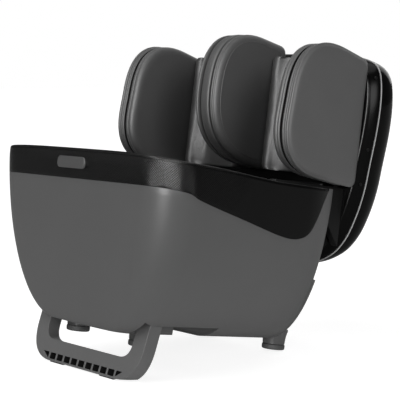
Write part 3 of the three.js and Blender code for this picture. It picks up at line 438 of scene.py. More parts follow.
def drawnIn(outline, centre, half, inset, shrink=1.0):
    # a flat outline drawn in towards its centre
    x, y = centre
    across, up = 1 - inset / half.x, 1 - inset / half.y
    return [(x + (p.x - x) * across * shrink, y + (p.y - y) * up * shrink) for p in outline]


def upright(outline, y):
    return [Vector((x, y, z)) for x, z in outline]


def addPiece(name, bm, material, body="root", stands=(), sharp=34, placed=True):
    bmesh.ops.remove_doubles(bm, verts=bm.verts, dist=0.003 if placed else 0.000003)
    bmesh.ops.recalc_face_normals(bm, faces=bm.faces)
    if placed:
        bm.transform(placeDevice)
    mesh = bpy.data.meshes.new(name)
    bm.to_mesh(mesh)
    bm.free()
    mesh.polygons.foreach_set("use_smooth", [True] * len(mesh.polygons))
    mesh.set_sharp_from_angle(angle=math.radians(sharp))
    mesh.materials.append(material)
    piece = addObject(name, mesh)
    if body:
        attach(piece, body)
        if stands:
            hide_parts(*stands)
    return piece


def modify(piece, kind, **settings):
    return setAll(piece.modifiers.new(kind.lower(), kind), **settings)


def soften(piece, width, angle):
    limits = {"limit_method": "ANGLE", "angle_limit": math.radians(angle), "use_clamp_overlap": True}
    modify(piece, "BEVEL", width=width / 1000, segments=2, **limits)


def thicken(piece, millimetres):
    modify(piece, "SOLIDIFY", thickness=millimetres / 1000, offset=-1, use_even_offset=True)


def applyModifiers(piece):
    dependencies = bpy.context.evaluated_depsgraph_get()
    dressed = bpy.data.meshes.new_from_object(piece.evaluated_get(dependencies))
    old = piece.data
    piece.modifiers.clear()
    piece.data = dressed
    bpy.data.meshes.remove(old)


def cutAway(piece, name, bm):
    # takes a closed form out of the piece, and leaves no modifier behind
    cutter = addPiece(name, bm, piece.data.materials[0], None)
    parent, piece.parent = piece.parent, None
    modify(piece, "BOOLEAN", operation="DIFFERENCE", solver="EXACT", object=cutter)
    applyModifiers(piece)
    bpy.data.objects.remove(cutter)
    piece.parent = parent


filling = {
    "voxel": 5,
    "frames": 20,
    "cloth": {
        "mass": 0.12,
        "tension_stiffness": 5,
        "compression_stiffness": 5,
        "bending_stiffness": 0.2,
        "use_pressure": True,
        "uniform_pressure_force": 4,
    },
}


def surfaceOf(mesh):
    return BVHTree.FromPolygons([vert.co for vert in mesh.vertices], [face.vertices for face in mesh.polygons])


def inflate(piece, isHeld, farthest):
    # blows up an evenly remeshed copy as cloth, sewn down where isHeld says, and moves the piece onto it
    cloth = addObject(f"{piece.name}_filling", piece.data.copy())
    modify(cloth, "REMESH", mode="VOXEL", voxel_size=filling["voxel"] / 1000)
    applyModifiers(cloth)
    sewn = cloth.vertex_groups.new(name="sewn")
    sewn.add([v.index for v in cloth.data.vertices if isHeld(toDevice @ v.co)], 1.0, "REPLACE")
    start = [v.co.copy() for v in cloth.data.vertices]
    modifier = modify(cloth, "CLOTH")
    setAll(modifier.settings, vertex_group_mass="sewn", **filling["cloth"])
    modifier.settings.effector_weights.gravity = 0
    setAll(modifier.point_cache, frame_start=1, frame_end=filling["frames"])
    for moment in range(1, filling["frames"] + 1):
        bpy.context.scene.frame_set(moment)
    applyModifiers(cloth)
    moves = [(v.co - one).length * 1000 for v, one in zip(cloth.data.vertices, start)]
    print(f"{piece.name}: {len(moves)} points, the farthest moved {max(moves):.1f} mm")
    surface = surfaceOf(cloth.data)
    for vert in piece.data.vertices:
        if isHeld(toDevice @ vert.co):
            continue
        move = surface.find_nearest(vert.co)[0] - vert.co
        if move.length > farthest / 1000:
            move *= farthest / 1000 / move.length
        vert.co += move
    old = cloth.data
    bpy.data.objects.remove(cloth)
    bpy.data.meshes.remove(old)
    bpy.context.scene.frame_set(1)


def roundedCopy(node, material, width, body="root"):
    # a CAD node's own shape with its sharp edges broken, as a mould or a file leaves them
    bm = bmesh.new()
    bm.from_mesh(frame["nodes"][node].data)
    bmesh.ops.remove_doubles(bm, verts=bm.verts, dist=0.00001)
    bmesh.ops.dissolve_limit(bm, angle_limit=math.radians(2), verts=bm.verts, edges=bm.edges)
    sharp = [edge for edge in bm.edges if edge.is_manifold and edge.calc_face_angle() > math.radians(38)]
    shape = {"segments": 2, "profile": 0.5, "affect": "EDGES", "clamp_overlap": True, "material": -1}
    bmesh.ops.bevel(bm, geom=sharp, offset=width / 1000, **shape)
    return addPiece(f"{node}_moulding", bm, material, body, [node], placed=False)


def tube(name, path, radius, material, body, sides):
    rings = []
    angles = [math.tau * k / sides for k in range(sides)]
    for i, place in enumerate(path):
        along = (path[(i + 1) % len(path)] - path[i - 1]).normalized()
        side = Vector((1, 0, 0)) if abs(along.x) < 0.9 else Vector((0, 1, 0))
        side = (side - along * side.dot(along)).normalized()
        up = along.cross(side)
        rings.append([place + (side * math.cos(a) + up * math.sin(a)) * radius for a in angles])
    return addPiece(name, loftBody(rings, closed=True), material, body, sharp=60)


# Tub: a shell whose outline draws in below in an elliptical quarter

tub = {
    "halfWidth": 202,
    "frontReach": 222,
    "rearReach": 158,
    "bottom": 18,
    "sideRim": 243,
    "frontRim": 258,
    "frontCorner": 58,
    "rearCorner": 120,
    "bottomInset": 118,
    "frontBow": 4,
    "frontInset": 0.2,
    "frontDraft": 0.1,
    "rearInset": 0.2,
    "frontTightening": 0.3,
    "rearTightening": 0.55,
    "leastCorner": 0.33,
    "wall": 3,
    "levels": 30,
    "rimArch": 5.5,
}
bandKnots = [(-400, 217), (-222, 217), (-175, 213), (-158, 206), (-68, 185), (0, 170)]
bandKnots += [(30, 169), (50, 179), (62, 202), (72, 226), (84, 245), (96, 262)]
horn = {"foot": (99, 112), "top": (114, 258), "tipRound": 12, "footRound": 14, "start": 83}
rearLip = {"low": 78, "lowHalf": 100, "highHalf": 160}
inletHole = {"halfWidth": 13.3, "low": 45.2, "high": 64.8, "behind": 100, "near": 40}
standSlot = {
    "inner": 96.5,
    "outer": 127.8,
    "front": -166,
    "rear": -36,
    "barFront": -91,
    "roof": 66.5,
    # the faces that its edges may split
    "below": 80,
    "ahead": -10,
}


def tubPlace(column, z, inward=0):
    # one place on the tub's side: which stretch of the outline, how far along it, and how high
    stretch, t = column
    depth = max(tub["sideRim"] - z, 0)
    down = depth / (tub["sideRim"] - tub["bottom"])
    inset = tub["bottomInset"] * (1 - math.sqrt(max(1 - down * down, 0)))
    across = tub["halfWidth"] - inset - inward
    front = tub["frontReach"] - inset * tub["frontInset"] - depth * tub["frontDraft"] - inward
    rear = tub["rearReach"] - inset * tub["rearInset"] - inward
    least = tub["frontCorner"] * tub["leastCorner"]
    frontCorner = max(tub["frontCorner"] - inset * tub["frontTightening"] - inward, least)
    rearCorner = min(tub["rearCorner"] - inset * tub["rearTightening"] - inward, across)
    if stretch == "front":
        x, y = (across - frontCorner) * t, -front
    elif stretch == "frontCorner":
        x = across - frontCorner + frontCorner * math.sin(t)
        y = -front + frontCorner - frontCorner * math.cos(t)
    elif stretch == "side":
        x, y = across, -front + frontCorner + (rear - rearCorner + front - frontCorner) * t
    elif stretch == "rearCorner":
        x = across - rearCorner + rearCorner * math.cos(t)
        y = rear - rearCorner + rearCorner * math.sin(t)
    else:
        x, y = (across - rearCorner) * (1 - t), rear
    if y < 0:
        y += tub["frontBow"] * -y * (x / across) ** 2 / front
    return Vector((x, y, z))


# steps along each stretch of the outline; at the corners: start and step in degrees, and count
straights = {"front": 12, "side": 40, "rear": 8}
bends = {"frontCorner": [(0, 5, 18)], "rearCorner": [(0, 1.5, 16), (24, 0.7, 28), (43.6, 2.9, 16)]}


def tubColumns():
    columns = []
    for stretch in ("front", "frontCorner", "side", "rearCorner", "rear"):
        if stretch in straights:
            count = straights[stretch]
            columns += [(stretch, i / count) for i in range(count)]
        else:
            for start, step, count in bends[stretch]:
                columns += [(stretch, math.radians(start + i * step)) for i in range(count)]
    return columns + [("rear", 1)]


def smoothStep(value):
    share = min(max(value, 0), 1)
    return share * share * (3 - 2 * share)


def rimHeight(place):
    # the rim rises to the front, and arches a little between the front corners
    rise = smoothStep(-place.y / tub["frontReach"])
    arch = tub["rimArch"] * (place.x / tub["halfWidth"]) ** 4 * rise**2
    return tub["sideRim"] + (tub["frontRim"] - tub["sideRim"]) * rise - arch


def bandFoot(y):
    # a smooth line through the knots, level round the front: it falls along the side, then climbs the horn
    knots, first, last = bandKnots, bandKnots[1], bandKnots[-2]
    if y <= first[0]:
        return first[1]
    if y >= last[0]:
        return last[1]
    i = max(k for k in range(len(knots) - 1) if knots[k][0] <= y)
    slope = lambda k: (knots[k + 1][1] - knots[k - 1][1]) / (knots[k + 1][0] - knots[k - 1][0])
    (y0, z0), (y1, z1) = knots[i], knots[i + 1]
    span = y1 - y0
    t = (y - y0) / span
    blend = (2 * t**3 - 3 * t**2 + 1) * z0 + (t**3 - 2 * t**2 + t) * span * slope(i)
    return blend + (-2 * t**3 + 3 * t**2) * z1 + (t**3 - t**2) * span * slope(i + 1)


def roundedOff(radius, past):
    # how far a rounded corner draws a line in, past its start
    return radius - math.sqrt(max(radius**2 - max(past, 0) ** 2, 0))


def hornLine(z):
    (y0, z0), (y1, z1), tip, foot = horn["foot"], horn["top"], horn["tipRound"], horn["footRound"]
    line = y0 + (y1 - y0) * (z - z0) / (z1 - z0)
    return line - roundedOff(tip, z - tub["sideRim"] + tip) + roundedOff(foot, z0 + foot - z)


def lipHeight(x):
    rise = smoothStep((abs(x) - rearLip["lowHalf"]) / (rearLip["highHalf"] - rearLip["lowHalf"]))
    return rearLip["low"] + (horn["foot"][1] - rearLip["low"]) * rise


def isOpen(place):
    # above the shell's top line: the band in front, the horn's slanted cut and the rear lip behind
    if place.y < horn["start"] and place.z >= bandFoot(place.y) - 0.4:
        return True
    if place.z >= rimHeight(place):
        return True
    if place.z >= horn["foot"][1] and place.y >= hornLine(place.z):
        return True
    return place.y > horn["foot"][0] and place.z >= lipHeight(place.x)


search = {"end": 262, "step": 2, "halvings": 12}


def shellTop(column):
    low = tub["bottom"]
    high = low
    while high < search["end"] and not isOpen(tubPlace(column, high)):
        low = high
        high += search["step"]
    for _ in range(search["halvings"]):
        middle = (low + high) / 2
        if isOpen(tubPlace(column, middle)):
            high = middle
        else:
            low = middle
    return low


def addWall(name, bm, material, node, edge):
    piece = addPiece(name, bm, material, "root", [node])
    thicken(piece, tub["wall"])
    soften(piece, edge, 50)


def splitAt(bm, test, axis, *levels):
    normal = Vector([float(axis == k) for k in "xyz"])
    for level in levels:
        faces = [face for face in bm.faces if test(face)]
        edges = {edge for face in faces for edge in face.edges}
        verts = {vert for face in faces for vert in face.verts}
        plane = {"plane_co": normal * level, "plane_no": normal, "dist": 0.0005}
        bmesh.ops.bisect_plane(bm, geom=faces + list(edges) + list(verts), **plane)


def buildShell():
    bm = bmesh.new()
    columns = tubColumns()
    tops = [shellTop(column) for column in columns]
    low, chains = tub["bottom"], []
    for k in range(tub["levels"] + 1):
        share = 1 - math.cos(math.pi / 2 * k / tub["levels"])
        chains.append(openChain(bm, [tubPlace(c, low + (top - low) * share) for c, top in zip(columns, tops)]))
    bridgeAll(bm, chains)
    mirrorAcross(bm)
    bmesh.ops.remove_doubles(bm, verts=bm.verts, dist=0.01)
    capWhere(bm, lambda p: p.z < low + 0.01)
    s, hole = standSlot, inletHole

    def isUnder(face):
        return face.calc_center_median().z < s["below"] and min(vert.co.y for vert in face.verts) < s["ahead"]

    def isBehind(face):
        middle = face.calc_center_median()
        return middle.y > hole["behind"] and abs(middle.x) < hole["near"]

    splitAt(bm, isUnder, "x", s["inner"], s["outer"], -s["inner"], -s["outer"])
    splitAt(bm, isUnder, "y", s["front"], s["rear"], s["barFront"])
    splitAt(bm, isUnder, "z", s["roof"])
    splitAt(bm, isBehind, "x", hole["halfWidth"], -hole["halfWidth"])
    splitAt(bm, isBehind, "z", hole["low"], hole["high"])
    gone = []
    for face in bm.faces:
        middle = face.calc_center_median()
        inArms = s["inner"] < abs(middle.x) < s["outer"] and s["front"] < middle.y < s["rear"]
        inBar = abs(middle.x) <= s["inner"] and s["barFront"] < middle.y < s["rear"]
        inHole = abs(middle.x) < hole["halfWidth"] and hole["low"] < middle.z < hole["high"]
        if middle.z < s["roof"] and (inArms or inBar) or inHole and middle.y > hole["behind"]:
            gone.append(face)
    bmesh.ops.delete(bm, geom=gone, context="FACES")
    addWall("tub_shell", bm, greyAbs, "base_shell", 0.7)


buildShell()
print("stage: the tub's shell is made")

# Rim band: the same wall from its lower edge to the rim, with a plain lip along the top


band = {
    "start": 170.0,
    "passes": 30,
    "least": 0.8,
    "levels": 8,
    "fullFrom": 9,  # where it is lower than this, its lip shrinks
    "lipFoot": 4.8,
    # the rolled lip: how far above the rim, and how far in
    "lip": [(-4.6, 0), (-4.2, 0.5), (-3.8, 0.5), (-3.4, 0), (-2, 0.15), (-1, 0.6), (-0.3, 1.3), (0, 2.2)],
}


def bandSpan(column):
    low = band["start"]
    for _ in range(band["passes"]):
        low = bandFoot(tubPlace(column, low).y)
    return low, rimHeight(tubPlace(column, tub["sideRim"]))


def buildBand():
    bm = bmesh.new()
    columns = [c for c in tubColumns() if tubPlace(c, tub["sideRim"]).y < horn["start"]]
    spans = [bandSpan(column) for column in columns]
    columns, spans = zip(*[(c, s) for c, s in zip(columns, spans) if s[1] - s[0] > band["least"]])
    arcs = lengthsAlong([tubPlace(column, span[1]) for column, span in zip(columns, spans)])
    arcLayer = bm.verts.layers.float.new("arc")
    heightLayer = bm.verts.layers.float.new("height")
    levels = [(k / band["levels"], 0, 0) for k in range(band["levels"])]
    chains = []
    for share, drop, inward in levels + [(1, drop, inward) for drop, inward in band["lip"]]:
        places = []
        for column, (low, high) in zip(columns, spans):
            room = min(1.0, (high - low) / band["fullFrom"])
            top = high - band["lipFoot"] * room
            z = low + (top - low) * share if share < 1 else high + drop * room
            places.append(tubPlace(column, z, inward * room))
        verts = [bm.verts.new(place) for place in places]
        for vert, arc in zip(verts, arcs):
            vert[arcLayer] = arc
            vert[heightLayer] = vert.co.z
        chains.append([bm.edges.new(pair) for pair in zip(verts, verts[1:])])
    bridgeAll(bm, chains)
    mirrorAcross(bm)
    addWall("rim_band_moulding", bm, bandKnurl, "rim_band", 0.8)


buildBand()

badge = {
    "halfSize": (31.5, 8),
    "round": 7.7,
    "columns": 96,
    "level": 238,
    "face": -222.3,
    # how far out from the face, and how far in from the outline
    "rings": [(-2.4, 0), (1.1, 0), (1.6, 0.5), (1.6, 1.1), (1.3, 1.5), (1.3, 3.0)],
}


def buildBadge():
    half, centre = Vector(badge["halfSize"]), Vector((0, badge["level"]))
    low, high = centre.y - half.y, centre.y + half.y
    corners = [(-half.x, low), (half.x, low), (half.x, high), (-half.x, high)]
    outline = roundedOutline(corners, [badge["round"]] * 4, badge["columns"])
    rings = [upright(drawnIn(outline, centre, half, inset), badge["face"] - out) for out, inset in badge["rings"]]
    addPiece("badge_plate", loftBody(rings), badgeGrey, "root", ["badge"], sharp=50)


buildBadge()
print("stage: the rim band and its bare badge plate are made")

# Feet: posts moulded in the shell's grey, flared where they meet it, with rubber caps

feet = {
    "x": 73,
    "y": 126,
    "postRadius": 16.4,
    "capRadius": 17,
    # heights, and how much wider than the radius
    "post": [(8.3, -0.6), (8.9, 0), (14, 0.3), (19, 0.9), (24, 1.9), (28, 3), (30, 3)],
    "cap": [(0, -2.2), (0.5, -0.9), (1.6, -0.2), (3, 0), (6.4, 0), (7.4, -0.4), (8, -1.3)],
}


def buildFeet():
    post = [(z, feet["postRadius"] + wider) for z, wider in feet["post"]]
    cap = [(z, feet["capRadius"] + wider) for z, wider in feet["cap"]]
    for end, y in (("front", -feet["y"]), ("rear", feet["y"])):
        for side, x in (("left", -feet["x"]), ("right", feet["x"])):
            addPiece(f"{end}_post_{side}", lathe(post, (x, y, 0), (0, 0, 1)), greyAbs)
            bm = lathe(cap, (x, y, 0), (0, 0, 1))
            cutLevel(bm, 0)
            addPiece(f"{end}_cap_{side}", bm, rubberGrey, "root", [f"{end}_foot_{side}"])


buildFeet()

# Stand: a flat U with a cored grip bar, folded out to the front

stand = {
    "pivot": (-139.8, 54),
    "lean": 11.3,
    "halfWidth": 124.5,
    "arm": 26,
    "thickness": 20,
    "head": 9,
    "reach": 102,
    "bar": 31,
    "outerRound": 52,
    "innerRound": 22,
    "endRound": 9,
    "columns": 260,
    "cutAt": 0.0024,  # metres above the ground, where its rubber strips begin
    "cells": 11,
    "pitch": 17.2,
    "rib": 3,
    "cellHeight": 9,
    "cellDepth": 12,
    "overrun": 3,
    # a black sheet in each cell, painted shade: its share of the cell, how far it is sunk, and its gap to the cell's
    # back
    "shadeSheetShare": 0.97,
    "shadeSheetSunk": 0.9,
    "shadeSheetGap": 0.2,
}


def addCup(bm, corners, front, back, lidded):
    loops = [closedLoop(bm, upright(corners, y)) for y in (front, back)]
    bridgeAll(bm, loops)
    for loop in loops if lidded else loops[1:]:
        capLoop(bm, loop)


def buildStand():
    half, head, reach, face = stand["halfWidth"], stand["head"], stand["reach"], stand["thickness"] / 2
    inner, bar = half - stand["arm"], stand["bar"] - reach
    corners = [(-half, head), (-half, -reach), (half, -reach), (half, head)]
    corners += [(inner, head), (inner, bar), (-inner, bar), (-inner, head)]
    end, outerRound, innerRound = stand["endRound"], stand["outerRound"], stand["innerRound"]
    radii = [end, outerRound, outerRound, end, end, innerRound, innerRound, end]
    outline = roundedOutline(corners, radii, stand["columns"], bend=20)
    placeStand = Matrix.Translation((0, *stand["pivot"])) @ Matrix.Rotation(-math.radians(stand["lean"]), 4, "X")
    bm = loftBody([upright(outline, y) for y in (-face, face)])
    bm.transform(placeStand)
    cutLevel(bm, stand["cutAt"])
    piece = addPiece("stand_frame", bm, greyNylon, "stand_frame", ["stand"])
    cells = bmesh.new()
    lining = bmesh.new()
    low = stand["rib"] - reach
    top = stand["rib"] + stand["cellHeight"] - reach
    wide = stand["pitch"] - stand["rib"]
    back = stand["cellDepth"] - face
    last = stand["cells"] - 1
    for i in range(stand["cells"]):
        middle = (i - last / 2) * stand["pitch"]
        left, right = middle - wide / 2, middle + wide / 2
        corners = [(left, low), (right, low), (right, top), (left, top)]
        # the cells at both ends are triangles
        if i == 0:
            corners.pop(0)
        if i == last:
            corners.pop(1)
        addCup(cells, corners, -face - stand["overrun"], back, True)
        # a black sheet over each cell's floor and walls: painted shade, standing for the deep shade inside the cells
        centre = sum((Vector(place) for place in corners), Vector((0, 0))) / len(corners)
        near = [centre + (Vector(place) - centre) * stand["shadeSheetShare"] for place in corners]
        addCup(lining, near, stand["shadeSheetSunk"] - face, back - stand["shadeSheetGap"], False)
    cells.transform(placeStand)
    lining.transform(placeStand)
    addPiece("stand_cell_painted_shade_sheets", lining, blackNylon, "stand_frame")
    cutAway(piece, "stand_cells", cells)
    soften(piece, 0.9, 40)
    for side in ("left", "right"):
        roundedCopy(f"stand_strip_{side}", rubberBlack, 0.7, "stand_frame")


buildStand()
print("stage: the feet and the stand are made")

# Calf unit: a front frame, a bright seam trim and a deep gloss back

calf = {
    "halfWidth": 204,
    "bottom": 126,
    "top": 445,
    "front": 136,
    "seam": 155,
    "rear": 214,
    "frontInset": 7,
    "rearInset": 60,
    "rearPower": 2.6,
    "wall": 3,
    "trim": 1.6,
    "trimProud": 0.8,
    "gap": 0.3,
    "columns": 176,
    "lowerFront": 114,
    "lowerTop": 252,
    "lowerHalfWidth": 156,
    # how far behind its face, and how far in from its outline
    "lowerEdge": [(6, 0), (3, 0.7), (1.2, 2.0), (0.3, 4.2), (0, 8)],
    "discPlace": (89.75, 352),
    "discHole": 46,
    "discDepth": 12,
}
calfOutline = [(0, 1), (0.4, 0.997), (0.7, 0.985), (0.88, 0.96), (0.965, 0.91), (1, 0.8), (0.997, 0.66)]
calfOutline += [(0.967, 0.5), (0.943, 0.38), (0.895, 0.265), (0.812, 0.15), (0.68, 0.068), (0.45, 0.018), (0, 0)]


def splinePoint(knots, k, t):
    # uniform Catmull-Rom, its ends repeated
    p = [Vector(knots[min(max(k + d, 0), len(knots) - 1)]) for d in (-1, 0, 1, 2)]
    v0, v1 = (p[2] - p[0]) / 2, (p[3] - p[1]) / 2
    return p[1] + v0 * t + (p[2] - p[1]) * 3 * t**2 - (2 * v0 + v1) * t**2 + (p[1] - p[2]) * 2 * t**3 + (v0 + v1) * t**3


def calfHalfOutline():
    knots = [(x * calf["halfWidth"], (z - 0.5) * (calf["top"] - calf["bottom"])) for x, z in calfOutline]
    return [splinePoint(knots, k, t / 12) for k in range(len(knots) - 1) for t in range(12)] + [Vector(knots[-1])]


halfOutline = calfHalfOutline()
wholeOutline = resample(halfOutline + [Vector((-p.x, p.y)) for p in reversed(halfOutline[1:-1])], calf["columns"])


def calfScale(inset):
    # how an inset narrows the outline and shortens it, and its middle height
    high, low = calf["top"], calf["bottom"]
    return 1 - inset / calf["halfWidth"], 1 - 2 * inset / (high - low), (high + low) / 2


def calfRing(inset, y):
    across, up, middle = calfScale(inset)
    return [Vector((p.x * across, y, middle + p.y * up)) for p in wholeOutline]


def calfLoft(places, **ends):
    # places: how far in from the outline, and how far back
    return loftBody([calfRing(*place) for place in places], **ends)


def backInset(y):
    share = (y - calf["seam"]) / (calf["rear"] - calf["seam"])
    return calf["rearInset"] * (1 - math.sqrt(max(1 - share ** calf["rearPower"], 0)))


def buildCalfFrame():
    front, inset, wall = calf["front"], calf["frontInset"], calf["wall"]
    end = calf["seam"] - calf["trim"] / 2 - calf["gap"]
    places = [(inset + 90, front + wall), (inset + wall + 3, front + wall), (inset + wall, front + wall + 3)]
    places += [(wall, end), (0.6, end), (0, end - 0.6)]
    places += [(inset * (1 - k / 8) ** 1.3, front + 4 + (end - 4.6 - front) * k / 8) for k in range(7, -1, -1)]
    places += [(inset + 0.5, front + 2.4), (inset + 1.6, front + 1), (inset + 4, front), (inset + 90, front)]
    piece = addPiece("calf_frame_moulding", calfLoft(places), blackSatin, "calf_unit", ["calf_frame"])
    (x, z), radius, depth = calf["discPlace"], calf["discHole"], calf["discDepth"]
    for side in (-1, 1):
        hole = lathe([(-depth, radius), (depth, radius)], (side * x, front, z), (0, 1, 0))
        cutAway(piece, f"disc_hole_{side + 1}", hole)


def calfHalfWidthAt(z, inset):
    across, up, middle = calfScale(inset)
    best = 0.0
    for one, other in zip(halfOutline, halfOutline[1:]):
        z0, z1 = middle + one.y * up, middle + other.y * up
        if min(z0, z1) <= z <= max(z0, z1) and z0 != z1:
            share = (z - z0) / (z1 - z0)
            best = max(best, (one.x + (other.x - one.x) * share) * across)
    return best


def buildLowerBody():
    # the housing's lower front behind the ankles: one wall from its foot up to a rounded top edge
    inset, reach = calf["frontInset"], calf["lowerHalfWidth"] - calf["frontInset"]
    front, back, top = calf["lowerFront"], calf["front"] + 1.5, calf["lowerTop"]
    low = calf["bottom"] + inset + 2.5
    half = []
    for k in range(31):
        z = low + (top - low) * k / 30
        half.append(Vector((min(calfHalfWidthAt(z, inset), reach), z)))
    outline = resample([Vector((-p.x, p.y)) for p in reversed(half)] + half, 150)
    centre, half = Vector((0, (low + top) / 2)), Vector((reach, (top - low) / 2))
    rings = [upright(outline, back)]
    for deep, inward in calf["lowerEdge"]:
        rings.append(upright(drawnIn(outline, centre, half, inward), front + deep))
    bm = loftBody(rings, capped=False)
    capWhere(bm, lambda p: abs(p.y - front) < 0.01)
    addPiece("calf_lower_front", bm, blackSatin, "calf_unit")


def buildSeamTrim():
    y, half, wall, proud = calf["seam"], calf["trim"] / 2, calf["wall"], calf["trimProud"]
    places = [(wall, y - half), (0.2 - proud, y - half), (-proud, y - half + 0.3)]
    places += [(-proud, y + half - 0.3), (0.2 - proud, y + half), (wall, y + half)]
    addPiece("seam_trim_strip", calfLoft(places, closed=True), silverTrim, "calf_unit", ["seam_trim"])


def buildRearShell():
    start = calf["seam"] + calf["trim"] / 2 + calf["gap"]
    rear, deep = calf["rear"], calf["rear"] - start
    places = [(calf["wall"], start), (0.5, start), (0, start + 0.5)]
    shares = [k / 14 * 0.8 for k in range(1, 15)] + [0.84, 0.88, 0.915, 0.945, 0.968, 0.985, 0.995]
    places += [(backInset(min(start + deep * share, rear)), start + deep * share) for share in shares]
    places.append((calf["rearInset"] * 0.93, start + deep))
    for k, inset in enumerate((64, 76, 92, 110, 130, 150)):
        places.append((inset, rear + 1.2 * math.sin(math.pi / 2 * (k + 1) / 6)))
    bm = calfLoft(places, capped=False)
    capWhere(bm, lambda p: p.y > rear)
    addPiece("rear_shell_moulding", bm, blackGloss, "calf_unit", ["rear_shell"])


screws = {
    "y": 146,
    "heights": (255, 305, 408),
    # along the screw, and radii: the head's side, its rim and the recess for the driver
    "profile": [(-1.5, 2.3), (0.2, 2.3), (0.3, 2.0), (0.2, 1.3), (-0.8, 1.3)],
    "steps": 20,
}


def buildScrews():
    # sunk screw heads along both sides of the frame
    for side, word in ((-1, "left"), (1, "right")):
        for k, z in enumerate(screws["heights"]):
            x = calfHalfWidthAt(z, 1.0) * side
            bm = lathe(screws["profile"], (x, screws["y"], z), (side, 0, 0), screws["steps"])
            addPiece(f"frame_screw_{word}_{k + 1}", bm, blackNylon, "calf_unit")


buildCalfFrame()
buildScrews()
buildLowerBody()
buildSeamTrim()
buildRearShell()
print("stage: the calf housing is made")

# Upholstered walls: two sides and a middle, each sewn from two faces and a zipped edge


def mirrored(half):
    return half + [(-x, inset) for x, inset in reversed(half[:-1])]


pads = {
    "wing": {
        "centre": 175,
        "half": 19,
        "corners": [(-15, 262), (135.5, 249), (135.5, 430), (3, 458)],
        "rounds": [75, 14, 10, 88],
        # across the edge, and how far in from the outline: roll, bead, zip groove, two beads, piping, roll
        "edge": [
            (-18.8, 14), (-18.4, 9.2), (-17.4, 5.6), (-15.8, 2.8), (-13.6, 1), (-11.2, 0.2),
            (-9.2, 0.5), (-8, 1.7), (-6.9, 0.6), (-5.2, 0.1), (-3.6, 0.7), (-2.4, 2.1), (-1.9, 5.6),
            (1.9, 5.6), (2.4, 2.1), (3.1, 0.6), (4.4, 0), (5.7, 0.6), (6.4, 2.1), (7.1, 0.6), (8.4, 0),
            (9.7, 0.6), (10.4, 2.1), (11, 0.5), (12.2, -0.7), (13.4, -1), (14.6, -0.6), (15.3, 0.9),
            (15.8, 2), (16.9, 2.9), (18, 5.6), (18.6, 9.2), (18.9, 14),
        ],
        "zips": [0],
        "stitched": False,
    },
    "middle": {
        "centre": 0,
        "half": 25,
        "corners": [(-8, 276), (135.5, 264), (135.5, 452), (6, 470)],
        "rounds": [108, 12, 10, 84],
        "edge": mirrored([
            (-24.7, 14), (-24.3, 9.2), (-23.3, 5.6), (-21.7, 2.8), (-20.2, 1.6), (-19.6, 2.4),
            (-18.9, 0.9), (-17.5, 0.1), (-16, 0.5), (-15.1, 2), (-14.3, 0.6), (-13.3, 0.5),
            (-12.7, 2.1), (-12.2, 5.6), (-8.8, 5.6), (-8.3, 2.1), (-7.6, 0.8), (-6, 0.1), (-3, -0.3), (0, -0.4),
        ]),
        "zips": [-10.5, 10.5],
        "stitched": True,
    },
    "columns": 144,
    "edgeReach": 14,
    "faceRings": 12,
    "faceEnd": 0.95,
    "puff": 4.0,
    "held": 0.05,
    "stitchInset": 10.5,
    "stitchOut": 1,
    "thread": 0.45,
    # the zip's row of teeth runs along the groove's floor; its black tape, carried up to line the groove's walls, is
    # painted shade that darkens the groove
    "zipAndGrooveShadeLining": [(-2.4, 1.7), (-1.8, 5.3), (-0.8, 5.2), (-0.5, 4.5), (0.5, 4.5), (0.8, 5.2), (1.8, 5.3), (2.4, 1.7)],
}


def buildPad(name, form, side, nodes):
    outline = roundedOutline(form["corners"], form["rounds"], pads["columns"], bend=20)
    low = Vector((min(p.x for p in outline), min(p.y for p in outline)))
    high = Vector((max(p.x for p in outline), max(p.y for p in outline)))
    centre, size, half = (low + high) / 2, (high - low) / 2, form["half"]

    def ring(x, inset, shrink=1.0):
        x = side * (form["centre"] + x)
        return [Vector((x, y, z)) for y, z in drawnIn(outline, centre, size, inset, shrink)]

    edge = [ring(x, inset) for x, inset in form["edge"]]
    faces = {1: [], -1: []}
    for k in range(1, pads["faceRings"] + 1):
        shrink = 1 - pads["faceEnd"] * k / pads["faceRings"]
        swell = 0.2 * (1 - shrink)
        for way in (1, -1):
            faces[way].append(ring(way * (half + swell), pads["edgeReach"], shrink))
    piece = addPiece(name, loftBody(faces[-1][::-1] + edge + faces[1]), leatherette, "calf_unit", nodes, sharp=70)
    inflate(piece, lambda p: abs(p.x * side - form["centre"]) < half - pads["held"], pads["puff"])
    # the zip, with black tape lining its groove's walls: painted shade
    tape = bmesh.new()
    for place in form["zips"]:
        bridgeAll(tape, [closedLoop(tape, ring(place + across, deep)) for across, deep in pads["zipAndGrooveShadeLining"]])
    addPiece(f"{name}_zip_and_groove_shade", tape, zipAndGrooveShadeBlack, "calf_unit")
    if not form["stitched"]:
        return
    # a row of top stitching lies on each face, just inside its seam
    surface = surfaceOf(piece.data)
    for way, word in ((1, "right"), (-1, "left")):
        line = ring(way * (half + pads["stitchOut"]), pads["stitchInset"])
        line = [toDevice @ surface.find_nearest(placeDevice @ place)[0] for place in line]
        tube(f"{name}_{word}_stitch", line, pads["thread"], leatherette, "calf_unit", 6)


buildPad("side_cushion_right", pads["wing"], 1, ["side_pad_right"])
buildPad("side_cushion_left", pads["wing"], -1, ["side_pad_left"])
buildPad("middle_cushion", pads["middle"], 1, ["middle_pad"])
print("stage: the upholstered walls are made")

cradle = {
    "inner": 28.5,
    "outer": 151,
    "bottom": 264,
    "top": 434,
    "back": 135.7,
    "thickness": 11.7,
    "tip": 24,
    "columns": 96,
    # heights, and how far in from the section
    "foot": [(0, 4), (1, 2), (3, 0.8), (7, 0)],
    "head": [(164, 0), (167.5, 0.8), (169, 2), (170, 4)],
    "levels": 18,
    "sewn": 1.5,
    "puff": 2.5,
}


